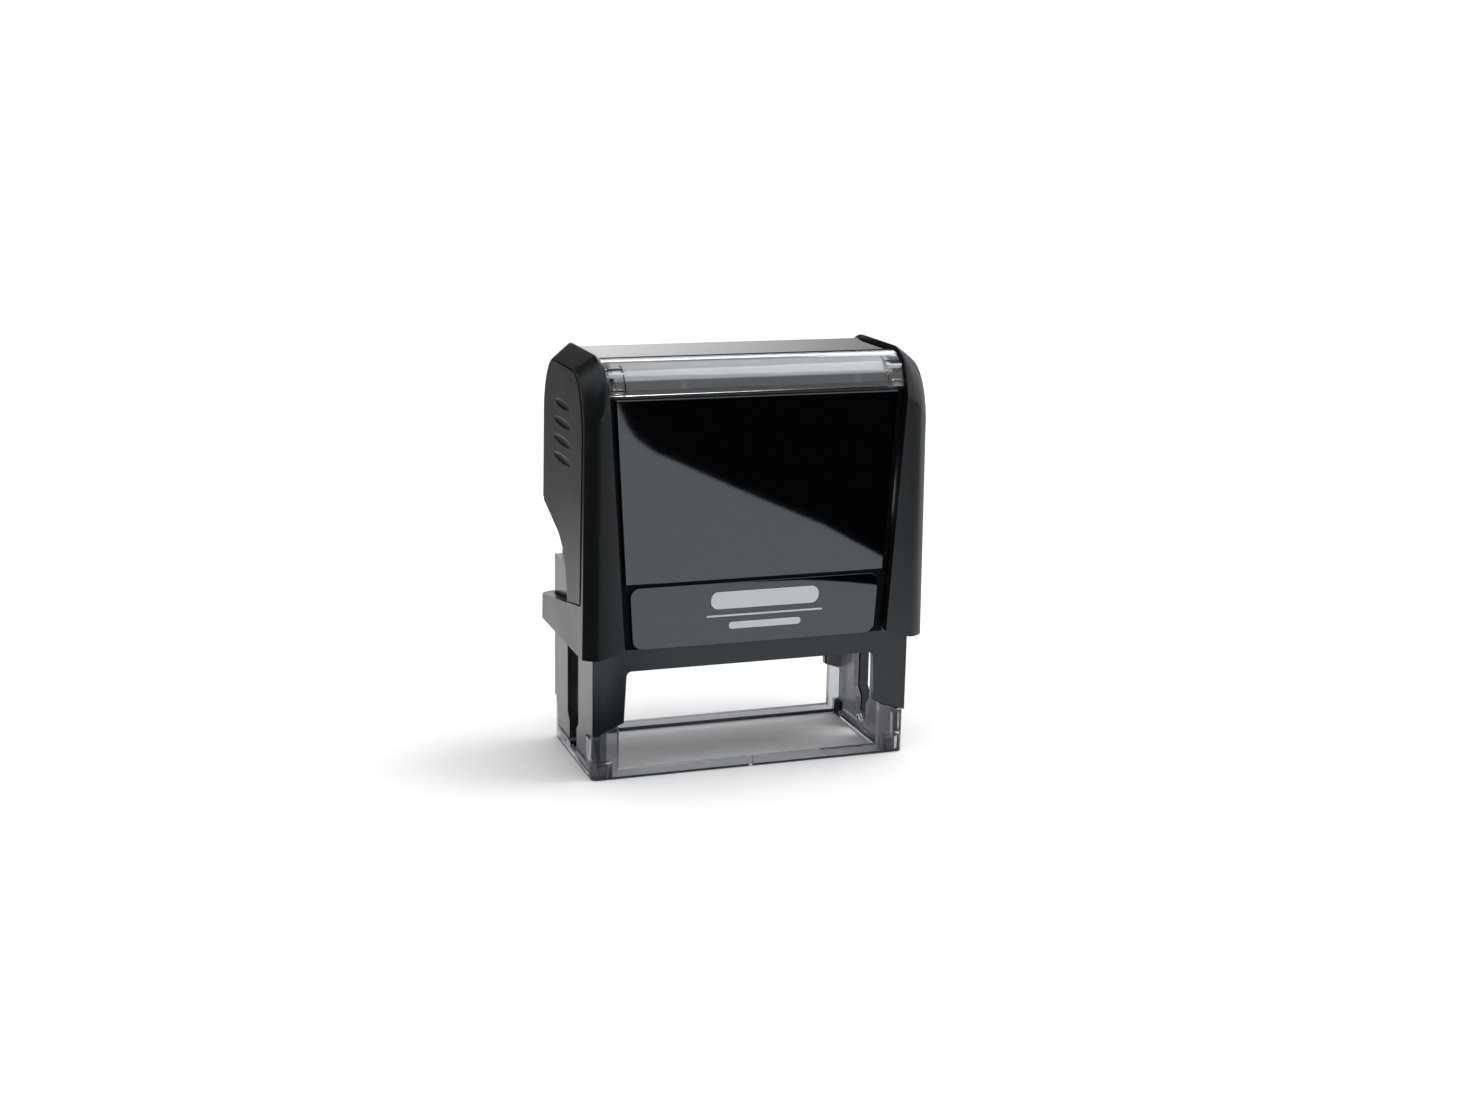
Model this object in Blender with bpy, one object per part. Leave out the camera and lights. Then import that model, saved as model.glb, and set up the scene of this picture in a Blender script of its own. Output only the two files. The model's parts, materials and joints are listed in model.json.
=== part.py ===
"""Self-inking text stamp: a spring cap that slides on a base frame and flips the text plate.

Front faces -Y, up is +Z, and the origin is the bottom centre of the foot.
Sizes are millimetres, turned into metres by MM as each mesh is made.
"""

import math

import bmesh
import bpy
from mathutils import Matrix, Vector

MM = 0.001
GAP = 0.3                      # clearance between neighbouring pieces

# Driving dimensions of the base
BASE_HALF_WIDTH = 28.7
BASE_HALF_DEPTH = 12.7
FRAME_FACE_Y = 12.3            # crossbar face, a little behind the leg corners
LEG_PROUD = 0.6                # how far a leg's outer corner stands in front of the crossbar
LEG_STEP_X = 23.8              # where the leg's angled face meets the crossbar face
FRAME_WALL = 1.2
SIDE_WALL = 1.7
WINDOW_TOP_X = 22.5
WINDOW_FOOT_X = 23.0
CROSSBAR_Z = 18.85
LEG_FOOT_INNER_Z = 9.8
LEG_FOOT_OUTER_Z = 7.9
FRONT_WALL_TOP_Z = 31.2
REAR_WALL_TOP_Z = 26.4
BRIDGE_Z = (38.2, 39.4)
LEG_TONGUE_Z = 2.9             # where the side walls end, in front of and behind the slot
SLOT_HALF_WIDTH = 3.7          # guide slot of the carrier axle
THROAT_HALF_WIDTH = 2.2        # its narrow foot
SLOT_FOOT_Z = 7.4
SLOT_TOP_Z = 30.5
CLIP_HALF_WIDTH = 4.8          # pocket behind the rear crossbar

# Driving dimensions of the clear foot
RING_WALL = 1.2
RING_TOP_Z = 1.6
RING_INNER_X = 25.8
POST_INNER_X = 24.0
POST_GAP = 0.2                 # between a post's top and the black leg
CHEEK_X = (25.8, 26.7)
CHEEK_HALF_DEPTH = 10.9
CHEEK_TOP_Z = 26.0
CHEEK_FOOT_Z = 0.5
PAD_X = 26.4
PAD_Y = 10.6
PAD_RADIUS = 1.5
PAD_HEIGHT = 2.5
NOTCH_HALF_WIDTH = 0.35        # centring mark in the front rim

# Driving dimensions of the ink cartridge
TRAY_X = 26.6
TRAY_Y = (-10.7, 12.0)
TRAY_Z = (32.0, 37.7)
TRAY_INNER_X = 24.8
TRAY_INNER_Y = 9.9
TRAY_FLOOR_Z = 35.8
PAD_FELT_Z = (31.8, 35.5)

# Driving dimensions of the cap
CAP_HALF_WIDTH = 30.75
CAP_SIDE_DEPTH = 13.9
CAP_FRONT_Y = 15.3
CAP_BOTTOM_Z = 22.0
CAP_TOP_Z = 72.2
CAP_DRAFT = 0.0115             # inward lean of the sides per mm of height
CHAMFER_TOP_X = 27.0
CHAMFER_SIDE_Z = 69.8
SHOULDER_Y = 7.3               # centre of the rounded shoulder
SHOULDER_Z = 62.2
PANEL_EDGE_BOTTOM_X = 23.6     # half width of the recess at the cap's foot
PANEL_EDGE_TOP_X = 26.7        # and at its top
PANEL_FACE_Y = 13.7
PANEL_WALL = 1.0
PANEL_BOTTOM_Z = 22.9
PANEL_TOP_Z = 65.6
TOP_FACE_Z = 71.6
WINDOW_BOTTOM_Z = 66.3
CAVITY_X = 28.95
CAVITY_Y = 13.2
CAVITY_TOP_Z = 60.0
ROOF_Z = 68.0
NOTCH_Z = (26.6, 44.0)
SIDE_SHOULDER = (6.3, 59.5)    # centre of the flat side's own shoulder
SHOULDER_BOW = ((0.0, 0.0), (0.22, 0.3), (0.55, 0.5), (0.82, 0.38), (1.0, 0.0))
SKIRT_Y = 26.0                 # wide skirt under the shoulder bevel, clear of the straight sides
SKIRT_DROP = 14.0
CREASE_Z = 34.2                # between the label strip and the dish above it
GRIP_BACK_X = 29.95
GROOVE_TOP_Z = 62.9
GROOVE_PITCH = 3.1
AXLE_BORE_RADIUS = 1.5
LOCK_Z = (24.0, 25.8)
LOCK_HALF_WIDTH = 4.0

# Driving dimensions of the moving carrier
STROKE = 20.0
AXLE_Z = 25.8
AXLE_RADIUS = 1.2
PLATE_HALF_X = 23.5            # 47 x 18 mm text plate
PLATE_HALF_Y = 9.0
FACE_HEIGHT = 5.4              # text face above the axle
CARRIER_HALF_X = 25.2
TEXT_ROWS = (20.0, 16.5, 18.0, 12.0)   # half lengths of the raised bars
TEXT_ROW_PITCH = 4.0
SPRING_WIRE = 0.325
SPRING_RADIUS = 3.9
SPRING_TURNS = 9

# Pieces with many coplanar joins, where the exact solver leaves open edges
EXACT_FAILS = {"clear_foot", "base_frame", "cap_shell"}


def material(name, colour, roughness, metallic=0.0, transmission=0.0):
    """A Principled material of one colour."""
    made = bpy.data.materials.new(name)
    made.use_nodes = True
    shader = made.node_tree.nodes["Principled BSDF"]
    shader.inputs["Base Color"].default_value = (*colour, 1.0)
    shader.inputs["Roughness"].default_value = roughness
    shader.inputs["Metallic"].default_value = metallic
    shader.inputs["Transmission Weight"].default_value = transmission
    return made


def add_object(name, bm, finish=None, parent=None):
    """A mesh object from a bmesh held in millimetres and world axes."""
    bmesh.ops.recalc_face_normals(bm, faces=bm.faces)
    bmesh.ops.scale(bm, vec=(MM, MM, MM), verts=bm.verts)
    mesh = bpy.data.meshes.new(name)
    bm.to_mesh(mesh)
    bm.free()
    made = bpy.data.objects.new(name, mesh)
    bpy.context.scene.collection.objects.link(made)
    if finish:
        mesh.materials.append(finish)
    if parent:
        made.parent = parent
        made.matrix_parent_inverse = Matrix.Translation(-parent.location)
    return made


def empty(name, place, parent=None):
    """An empty that marks a joint's axis, placed in millimetres."""
    made = bpy.data.objects.new(name, None)
    made.location = Vector(place) * MM
    bpy.context.scene.collection.objects.link(made)
    if parent:
        made.parent = parent
        made.matrix_parent_inverse = Matrix.Translation(-parent.location)
    return made


def prism(outline, axis, low, high):
    """An outline extruded along an axis: (y, z) for X, (x, z) for Y and (x, y) for Z."""
    def place(first, second, along):
        return {"X": (along, first, second), "Y": (first, along, second), "Z": (first, second, along)}[axis]

    bm = bmesh.new()
    near = [bm.verts.new(place(a, b, low)) for a, b in outline]
    far = [bm.verts.new(place(a, b, high)) for a, b in outline]
    bm.faces.new(near)
    bm.faces.new(far)
    count = len(outline)
    for i in range(count):
        j = (i + 1) % count
        bm.faces.new((near[i], near[j], far[j], far[i]))
    return bm


def block(x, y, z):
    """A box between two corners, each side given as (low, high)."""
    return prism([(x[0], y[0]), (x[1], y[0]), (x[1], y[1]), (x[0], y[1])], "Z", *z)


def rod(radius, axis, low, high, centre=(0.0, 0.0), sides=24):
    """A cylinder along an axis."""
    turn = [2 * math.pi * (i + 0.5) / sides for i in range(sides)]
    outline = [(centre[0] + radius * math.cos(a), centre[1] + radius * math.sin(a)) for a in turn]
    return prism(outline, axis, low, high)


def boolean(target, bm, operation="DIFFERENCE"):
    """Cuts a bmesh out of a target, or joins it on."""
    tool = add_object(f"{target.name}_tool_{len(target.modifiers)}", bm)
    tool.hide_render = True
    tool.display_type = "WIRE"
    step = target.modifiers.new(operation.title(), "BOOLEAN")
    step.operation = operation
    step.object = tool
    step.solver = "MANIFOLD" if target.name in EXACT_FAILS else "EXACT"


def smooth(target, degrees=35):
    """Shades round faces smooth and keeps the corners sharp."""
    target.data.shade_smooth()
    target.data.set_sharp_from_angle(angle=math.radians(degrees))


def arc(centre_y, centre_z, radius_y, radius_z, start, end, steps):
    """Points along an elliptical arc, angles in degrees from +Y towards +Z."""
    angles = [math.radians(start + (end - start) * i / steps) for i in range(steps + 1)]
    return [(centre_y + radius_y * math.cos(a), centre_z + radius_z * math.sin(a)) for a in angles]


def shoulder_angle(radius_z, height):
    """The arc angle at which a shoulder of this radius reaches a height."""
    return math.degrees(math.asin((height - SHOULDER_Z) / radius_z))


def lean(z):
    """How far the cap's sides have leaned in at a height."""
    return CAP_DRAFT * (z - CAP_BOTTOM_Z)


def recess_half_width(z):
    """Half width of the recess between the two end caps at a height."""
    share = (z - CAP_BOTTOM_Z) / (CAP_TOP_Z - CAP_BOTTOM_Z)
    return PANEL_EDGE_BOTTOM_X + (PANEL_EDGE_TOP_X - PANEL_EDGE_BOTTOM_X) * share


def recess_outline(low, high, inset):
    """The recess seen from the front, pulled in by an inset."""
    a, b = recess_half_width(low) - inset, recess_half_width(high) - inset
    return [(-a, low), (a, low), (b, high), (-b, high)]


# ---------------------------------------------------------------- base pieces

def leg_foot_z(x):
    """Height of the black leg's slanted lower edge at a distance from the middle."""
    share = (x - WINDOW_FOOT_X) / (BASE_HALF_WIDTH - WINDOW_FOOT_X)
    return LEG_FOOT_INNER_Z + (LEG_FOOT_OUTER_Z - LEG_FOOT_INNER_Z) * share


def leg_wedge(side, face, low, high, start):
    """The angled face of one leg corner, which stands proud at its outer edge."""
    plan = [(side * start, face * FRAME_FACE_Y),
            (side * BASE_HALF_WIDTH, face * (FRAME_FACE_Y + LEG_PROUD)),
            (side * BASE_HALF_WIDTH, face * (FRAME_FACE_Y - FRAME_WALL)),
            (side * start, face * (FRAME_FACE_Y - FRAME_WALL))]
    return prism(plan, "Z", low, high)


def frame_wall(face, top):
    """The front or rear wall of the frame with its window between two legs."""
    outline = [(BASE_HALF_WIDTH, leg_foot_z(BASE_HALF_WIDTH)), (BASE_HALF_WIDTH, top)]
    outline += [(-BASE_HALF_WIDTH, top), (-BASE_HALF_WIDTH, leg_foot_z(BASE_HALF_WIDTH))]
    outline += [(-WINDOW_FOOT_X, LEG_FOOT_INNER_Z), (-WINDOW_TOP_X, CROSSBAR_Z)]
    outline += [(WINDOW_TOP_X, CROSSBAR_Z), (WINDOW_FOOT_X, LEG_FOOT_INNER_Z)]
    return prism(outline, "Y", *sorted((face * FRAME_FACE_Y, face * (FRAME_FACE_Y - FRAME_WALL))))


def frame_side():
    """The side wall seen from the side, with its guide slot open at the foot."""
    slot, throat = SLOT_HALF_WIDTH, THROAT_HALF_WIDTH + 0.2
    foot = LEG_TONGUE_Z
    rear = [(throat, foot), (10.4, foot), (10.4, 7.4), (BASE_HALF_DEPTH, 7.5)]
    rear += [(BASE_HALF_DEPTH, 34.0), (8.0, 34.0), (6.0, BRIDGE_Z[1])]
    front = [(-10.9, BRIDGE_Z[1]), (-BASE_HALF_DEPTH, 34.0), (-BASE_HALF_DEPTH, 7.9)]
    front += [(-8.7, 7.3), (-8.7, foot), (-throat, foot)]
    opening = [(-throat, SLOT_FOOT_Z - 1.2), (-slot, SLOT_FOOT_Z), (-slot, SLOT_TOP_Z), (slot, SLOT_TOP_Z),
               (slot, SLOT_FOOT_Z), (throat, SLOT_FOOT_Z - 1.2)]
    return rear + front + opening


def build_base_frame(finish):
    """The black frame: front and rear walls, side walls with slots and the spring's bridge."""
    frame = add_object("base_frame", frame_wall(-1, FRONT_WALL_TOP_Z), finish)
    boolean(frame, frame_wall(1, REAR_WALL_TOP_Z), "UNION")
    inner = BASE_HALF_WIDTH - SIDE_WALL
    for side in (-1, 1):
        span = sorted((side * inner, side * BASE_HALF_WIDTH))
        boolean(frame, prism(frame_side(), "X", *span), "UNION")
    for face, top in ((-1, FRONT_WALL_TOP_Z), (1, REAR_WALL_TOP_Z)):
        for side in (-1, 1):
            wedge = leg_wedge(side, face, 0.0, top, LEG_STEP_X)
            boolean(frame, wedge, "UNION")
    for face in (-1, 1):
        far = 2 * WINDOW_FOOT_X
        under = [(-far, -1.0), (far, -1.0), (far, leg_foot_z(far)), (WINDOW_FOOT_X, LEG_FOOT_INNER_Z)]
        under += [(-WINDOW_FOOT_X, LEG_FOOT_INNER_Z), (-far, leg_foot_z(far))]
        boolean(frame, prism(under, "Y", *sorted((face * 10.9, face * 14.0))), "DIFFERENCE")
    boolean(frame, block((-inner - 0.5, inner + 0.5), (-10.8, 6.0), BRIDGE_Z), "UNION")
    boolean(frame, block((-6.0, 6.0), (10.5, 11.4), (CROSSBAR_Z, REAR_WALL_TOP_Z)), "UNION")
    clip = (-CLIP_HALF_WIDTH, CLIP_HALF_WIDTH)
    boolean(frame, block(clip, (11.3, 14.0), (CROSSBAR_Z - 1.0, REAR_WALL_TOP_Z + 1.0)))
    return frame


def corner_post(side, face):
    """The clear plate under one black leg, cut to the leg's slanted edge."""
    outline = [(side * POST_INNER_X, CHEEK_FOOT_Z), (side * BASE_HALF_WIDTH, CHEEK_FOOT_Z),
               (side * BASE_HALF_WIDTH, leg_foot_z(BASE_HALF_WIDTH) - POST_GAP),
               (side * POST_INNER_X, leg_foot_z(POST_INNER_X) - POST_GAP)]
    return prism(outline, "Y", *sorted((face * (BASE_HALF_DEPTH - 1.3), face * BASE_HALF_DEPTH)))


def rear_flap(side, face):
    """The clear flap that lines the inside of one leg, with a slanted foot."""
    outline = [(side * 23.3, 10.0), (side * CHEEK_X[1], 8.8), (side * CHEEK_X[1], CHEEK_TOP_Z),
               (side * 23.0, CHEEK_TOP_Z), (side * 22.8, CROSSBAR_Z + 0.35)]
    return prism(outline, "Y", *sorted((face * 10.3, face * CHEEK_HALF_DEPTH)))


def cheek_slot(side):
    """The guide slot through a cheek, with a rounded foot."""
    slot, throat, foot = SLOT_HALF_WIDTH, THROAT_HALF_WIDTH, SLOT_FOOT_Z
    outline = [(-slot, foot), (-slot, CHEEK_TOP_Z + 4.0), (slot, CHEEK_TOP_Z + 4.0), (slot, foot),
               (throat, foot - 1.6), (throat, 2.4), (1.2, 1.4), (-1.2, 1.4), (-throat, 2.4),
               (-throat, foot - 1.6)]
    return prism(outline, "X", *sorted((side * (CHEEK_X[0] - 0.8), side * (CHEEK_X[1] + 0.25))))


def build_clear_base(finish):
    """The smoky clear foot: a low ring, four corner posts and the cheeks that line the legs."""
    wall_x = BASE_HALF_WIDTH - SIDE_WALL
    foot = add_object("clear_foot", block((-BASE_HALF_WIDTH, BASE_HALF_WIDTH),
                                          (-BASE_HALF_DEPTH, BASE_HALF_DEPTH), (0.0, RING_TOP_Z)), finish)
    opening_y = BASE_HALF_DEPTH - RING_WALL
    boolean(foot, block((-RING_INNER_X, RING_INNER_X), (-opening_y, opening_y), (-1.0, RING_TOP_Z + 1.0)))
    for side in (-1, 1):
        flank = sorted((side * wall_x, side * BASE_HALF_WIDTH))
        for face, inner_y, height in ((-1, 8.9, 7.0), (1, 10.6, 7.1)):
            boolean(foot, corner_post(side, face), "UNION")
            corner = block(flank, sorted((face * inner_y, face * BASE_HALF_DEPTH)), (CHEEK_FOOT_Z, height))
            boolean(foot, corner, "UNION")
        rail = [(-12.0, CHEEK_FOOT_Z), (12.0, CHEEK_FOOT_Z), (12.0, 2.6), (THROAT_HALF_WIDTH, 2.4), (1.2, 1.2),
                (-1.2, 1.2), (-THROAT_HALF_WIDTH, 2.3), (-12.0, 2.4)]
        boolean(foot, prism(rail, "X", *flank), "UNION")
        cheek = block(sorted((side * CHEEK_X[0], side * CHEEK_X[1])), (-CHEEK_HALF_DEPTH, CHEEK_HALF_DEPTH),
                      (CHEEK_FOOT_Z, CHEEK_TOP_Z))
        boolean(foot, cheek, "UNION")
        for face in (-1, 1):
            boolean(foot, rear_flap(side, face), "UNION")
        boolean(foot, block(sorted((side * 25.0, side * 27.4)), (-11.8, 11.8), (0.0, 1.0)), "UNION")
        boolean(foot, cheek_slot(side))
        for face in (-1, 1):
            pocket = rod(PAD_RADIUS + GAP, "Z", -1.0, PAD_HEIGHT + GAP, (side * PAD_X, face * PAD_Y), 16)
            boolean(foot, pocket)
    mark = (-NOTCH_HALF_WIDTH, NOTCH_HALF_WIDTH)
    boolean(foot, block(mark, (-BASE_HALF_DEPTH - 0.3, -BASE_HALF_DEPTH + 0.35), (-1.0, RING_TOP_Z + 0.4)))
    return foot


def build_foot_pads(finish):
    """Four dark rubber plugs that keep the foot from slipping."""
    for side, side_name in ((-1, "left"), (1, "right")):
        for face, face_name in ((-1, "front"), (1, "rear")):
            plug = rod(PAD_RADIUS, "Z", 0.0, PAD_HEIGHT, (side * PAD_X, face * PAD_Y), 16)
            smooth(add_object(f"foot_pad_{face_name}_{side_name}", plug, finish))


def build_cartridge(tray_finish, pad_finish):
    """The ink tray, open downwards, with a finger grip at each end and its felt pad."""
    tray = add_object("ink_tray", block((-TRAY_X, TRAY_X), TRAY_Y, TRAY_Z), tray_finish)
    inner_x, inner_y = TRAY_INNER_X, TRAY_INNER_Y
    boolean(tray, block((-inner_x, inner_x), (-inner_y, inner_y), (TRAY_Z[0] - 2.0, TRAY_FLOOR_Z)))
    for side in (-1, 1):
        grip = sorted((side * (TRAY_X - 1.0), side * (TRAY_X + 1.4)))
        boolean(tray, block(grip, (4.0, 9.0), (TRAY_Z[0] - 2.0, TRAY_FLOOR_Z + 0.8)))
    felt_x, felt_y = inner_x - GAP, inner_y - GAP
    add_object("ink_pad", block((-felt_x, felt_x), (-felt_y, felt_y), PAD_FELT_Z), pad_finish)


# ----------------------------------------------------------------- cap pieces

def cap_plan(y_scale, x_scale):
    """The cap seen from above at its foot: flat sides and softly bowed front corners."""
    quarter = [(CAP_HALF_WIDTH, CAP_SIDE_DEPTH), (30.1, 14.55), (29.2, 15.05), (28.1, CAP_FRONT_Y),
               (24.0, CAP_FRONT_Y - 0.15)]
    right = [(x, -y) for x, y in reversed(quarter)] + quarter
    full = right + [(-x, -y) for x, y in right]
    return [(x * x_scale, y * y_scale) for x, y in full]


def cap_envelope():
    """The cap's plan lofted upwards with draft."""
    bm = bmesh.new()
    rings = []
    for z in (CAP_BOTTOM_Z, CAP_TOP_Z + 1.0):
        x_scale = 1 - lean(z) / CAP_HALF_WIDTH
        y_scale = 1 - 0.5 * lean(z) / CAP_SIDE_DEPTH
        rings.append([bm.verts.new((x, y, z)) for x, y in cap_plan(y_scale, x_scale)])
    count = len(rings[0])
    for i in range(count):
        j = (i + 1) % count
        bm.faces.new((rings[0][i], rings[0][j], rings[1][j], rings[1][i]))
    for ring in rings:
        bm.faces.new(ring)
    return bm


def side_profile():
    """The cap seen from the side: a wide body under two rounded shoulders."""
    front = arc(-SHOULDER_Y, SHOULDER_Z, 8.1, CAP_TOP_Z - SHOULDER_Z, 180, 90, 10)
    rear = arc(SHOULDER_Y, SHOULDER_Z, 8.1, CAP_TOP_Z - SHOULDER_Z, 90, 0, 10)
    return [(-17.0, 20.0), (-17.0, SHOULDER_Z - 3.0)] + front + rear + [(17.0, SHOULDER_Z - 3.0), (17.0, 20.0)]


def shoulder_profile(share, bow):
    """The rounded shoulder between the crest (share 0) and the flat side (share 1), bowed outwards."""
    def between(first, second):
        return first + (second - first) * share

    centre_y = between(SHOULDER_Y, SIDE_SHOULDER[0])
    centre_z = between(SHOULDER_Z, SIDE_SHOULDER[1])
    radius_y = between(7.85, 7.46) + bow
    radius_z = between(CAP_TOP_Z, CHAMFER_SIDE_Z) - centre_z
    front = arc(-centre_y, centre_z, radius_y, radius_z, 180, 90, 10)
    return front + arc(centre_y, centre_z, radius_y, radius_z, 90, 0, 10)


def build_cap_shell(finish, parent):
    """Both end caps and the roof that joins them, hollow from below."""
    shell = add_object("cap_shell", cap_envelope(), finish, parent)
    boolean(shell, prism(side_profile(), "X", -40.0, 40.0), "INTERSECT")
    boolean(shell, shoulder_keep(), "INTERSECT")
    boolean(shell, ring_around(core_profile(5.1, 7.7)))
    boolean(shell, block((-CAVITY_X, CAVITY_X), (-CAVITY_Y, CAVITY_Y), (10.0, CAVITY_TOP_Z)))
    boolean(shell, block((-28.4, 28.4), (-10.4, 10.4), (50.0, ROOF_Z)))
    for side in (-1, 1):
        boolean(shell, notch_cutter(side))
        boolean(shell, prism(grip_outline(GAP), "X", *sorted((side * 29.7, side * 34.0))))
        boolean(shell, foot_bevel(side))
    boolean(shell, rod(2.8, "Z", 62.5, ROOF_Z + 0.5), "UNION")
    for side in (-1, 1):
        span = sorted((side * (CAVITY_X - 2.0), side * (CAVITY_X + 0.45)))
        boolean(shell, rod(AXLE_BORE_RADIUS, "X", *span, (0.0, AXLE_Z), 24))
    smooth(shell)
    return shell


def shoulder_keep():
    """A long body whose two ends carry the shoulder bevel."""
    side_x = CAP_HALF_WIDTH - 0.5
    columns = []
    for share, bow in SHOULDER_BOW:
        x = CHAMFER_TOP_X + (side_x - CHAMFER_TOP_X) * share
        columns.append([Vector((x, y, z)) for y, z in shoulder_profile(share, bow)])
    grow = (34.0 - side_x) / (side_x - CHAMFER_TOP_X)
    columns.append([b + (b - a) * grow for a, b in zip(columns[0], columns[-1])])
    bm = bmesh.new()
    rings = []
    for ring, flip in [(c, -1) for c in reversed(columns)] + [(c, 1) for c in columns]:
        skirt = [(SKIRT_Y, ring[-1].z - SKIRT_DROP), (SKIRT_Y, 15.0), (-SKIRT_Y, 15.0),
                 (-SKIRT_Y, ring[0].z - SKIRT_DROP)]
        points = [(point.y, point.z) for point in ring] + skirt
        rings.append([bm.verts.new((ring[0].x * flip, y, z)) for y, z in points])
    count = len(rings[0])
    for first, second in zip(rings, rings[1:]):
        for i in range(count):
            j = (i + 1) % count
            bm.faces.new((first[i], first[j], second[j], second[i]))
    bm.faces.new(rings[0])
    bm.faces.new(rings[-1])
    return bm


def core_profile(radius_y, radius_z):
    """Side view of the shell's middle, which the panels, card and window lie on."""
    front = arc(-SHOULDER_Y, SHOULDER_Z, radius_y, radius_z, 180, 90, 10)
    rear = arc(SHOULDER_Y, SHOULDER_Z, radius_y, radius_z, 90, 0, 10)
    return [(-12.4, 20.0), (-12.4, 58.0)] + front + rear + [(12.4, 58.0), (12.4, 20.0)]


def ring_around(core):
    """The space in front of, above and behind the shell's middle, between the end caps."""
    bm = prism(recess_outline(15.0, CAP_TOP_Z + 3.0, 0.0), "Y", -20.0, 20.0)
    outer = add_object("recess_block", bm)
    outer.hide_render = True
    outer.display_type = "WIRE"
    boolean(outer, prism(core, "X", -40.0, 40.0))
    return evaluated_bmesh(outer)


def evaluated_bmesh(made):
    """The evaluated mesh of a tool object as a bmesh in millimetres."""
    bpy.context.view_layer.update()
    evaluated = made.evaluated_get(bpy.context.evaluated_depsgraph_get())
    bm = bmesh.new()
    bm.from_mesh(evaluated.to_mesh())
    bmesh.ops.scale(bm, vec=(1 / MM, 1 / MM, 1 / MM), verts=bm.verts)
    return bm


def grip_outline(outset):
    """The side grip plate's outline seen from the side, grown by an outset."""
    front = arc(-6.0, 58.5, 6.6 + outset, 10.9 + outset, 180, 90, 8)
    rear = arc(6.0, 58.5, 6.6 + outset, 10.9 + outset, 90, 0, 8)
    low = [(12.6 + outset, 43.9), (2.0, 40.3), (-0.9, 38.2), (-2.8, 35.4), (-4.0, 31.5),
           (-4.2 + outset, 29.8 - outset), (-12.3 - outset, 31.2 - outset)]
    return front + rear + low


def notch_cutter(side):
    """The finger notch at the rear of each end, where the ink cartridge can be reached."""
    outline = [(20.0, 46.5), (12.6, 44.0), (2.0, 40.5), (-0.7, 38.4), (-2.6, 35.6), (-3.7, 31.6),
               (-3.9, 29.3), (13.7, 26.6), (20.0, 26.6)]
    return prism(outline, "X", *sorted((side * 20.0, side * 40.0)))


def foot_bevel(side):
    """The slanted underside at the inner end of each end cap's front and rear face."""
    outline = [(side * 28.1, 21.0), (side * 28.1, CAP_BOTTOM_Z), (side * 23.0, CAP_BOTTOM_Z + 1.6),
               (side * 23.0, 21.0)]
    return prism(outline, "Y", -20.0, 20.0)


def build_grips(finish, parent):
    """The side plates, each with four crescent finger grooves."""
    for side, name in ((-1, "left_side_grip"), (1, "right_side_grip")):
        outline = grip_outline(0.0)
        bm = bmesh.new()
        near = [bm.verts.new((side * GRIP_BACK_X, y, z)) for y, z in outline]
        far = [bm.verts.new((side * (CAP_HALF_WIDTH + 0.15 - lean(z)), y, z)) for y, z in outline]
        bm.faces.new(near)
        bm.faces.new(far)
        count = len(outline)
        for i in range(count):
            j = (i + 1) % count
            bm.faces.new((near[i], near[j], far[j], far[i]))
        grip = add_object(name, bm, finish, parent)
        for k in range(4):
            height = GROOVE_TOP_Z - GROOVE_PITCH * k
            dish = bmesh.new()
            bmesh.ops.create_uvsphere(dish, u_segments=16, v_segments=8, radius=1.0)
            bmesh.ops.scale(dish, vec=(0.5, 6.2 if k else 5.2, 0.8), verts=dish.verts)
            bmesh.ops.translate(dish, vec=(side * (CAP_HALF_WIDTH + 0.25 - lean(height)), 0.0, height),
                                verts=dish.verts)
            boolean(grip, dish)


def band(outer, inner, low_x, high_x):
    """A curved sheet between two side profiles, along X."""
    return prism(outer + list(reversed(inner)), "X", low_x, high_x)


def build_front_panel(finish, parent):
    """The glossy front: a label strip at the foot and a broad shallow dish above a crease."""
    face, wall = -PANEL_FACE_Y, PANEL_WALL
    profile = [(face + wall, PANEL_BOTTOM_Z), (face - 0.05, PANEL_BOTTOM_Z), (face + 0.1, CREASE_Z - 0.5),
               (face + 0.45, CREASE_Z), (face + 0.1, CREASE_Z + 0.5), (face + 0.2, 45.0), (face + 0.2, 55.0),
               (face, PANEL_TOP_Z), (face + wall, PANEL_TOP_Z)]
    panel = add_object("front_panel", prism(profile, "X", -30.0, 30.0), finish, parent)
    boolean(panel, prism(recess_outline(20.0, 70.0, GAP), "Y", -20.0, 0.0), "INTERSECT")


def build_rear_panel(finish, parent):
    """The rear cover, which runs up over the shoulder to the top cover."""
    rise = TOP_FACE_Z - SHOULDER_Z
    outer_curve = arc(SHOULDER_Y, SHOULDER_Z, PANEL_FACE_Y - SHOULDER_Y, rise, 0, 84, 10)
    inner_curve = arc(SHOULDER_Y, SHOULDER_Z, PANEL_FACE_Y - SHOULDER_Y - PANEL_WALL, rise - 1.2, 0, 84, 10)
    outer = [(PANEL_FACE_Y, NOTCH_Z[1] + GAP)] + outer_curve
    inner = [(PANEL_FACE_Y - PANEL_WALL, NOTCH_Z[1] + GAP)] + inner_curve
    panel = add_object("rear_panel", band(outer, inner, -30.0, 30.0), finish, parent)
    boolean(panel, prism(recess_outline(20.0, 80.0, GAP), "Y", 0.0, 20.0), "INTERSECT")


def build_rear_strip(finish, parent):
    """The strip under the rear opening, which carries the lock button."""
    strip = add_object("rear_strip", block((-23.4, 23.4), (PANEL_FACE_Y - PANEL_WALL, PANEL_FACE_Y),
                                           (PANEL_BOTTOM_Z, NOTCH_Z[0] + 0.1)), finish, parent)
    hole = LOCK_HALF_WIDTH + GAP
    boolean(strip, block((-hole, hole), (12.0, 15.0), (LOCK_Z[0] - GAP, LOCK_Z[1] + GAP)))


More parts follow.
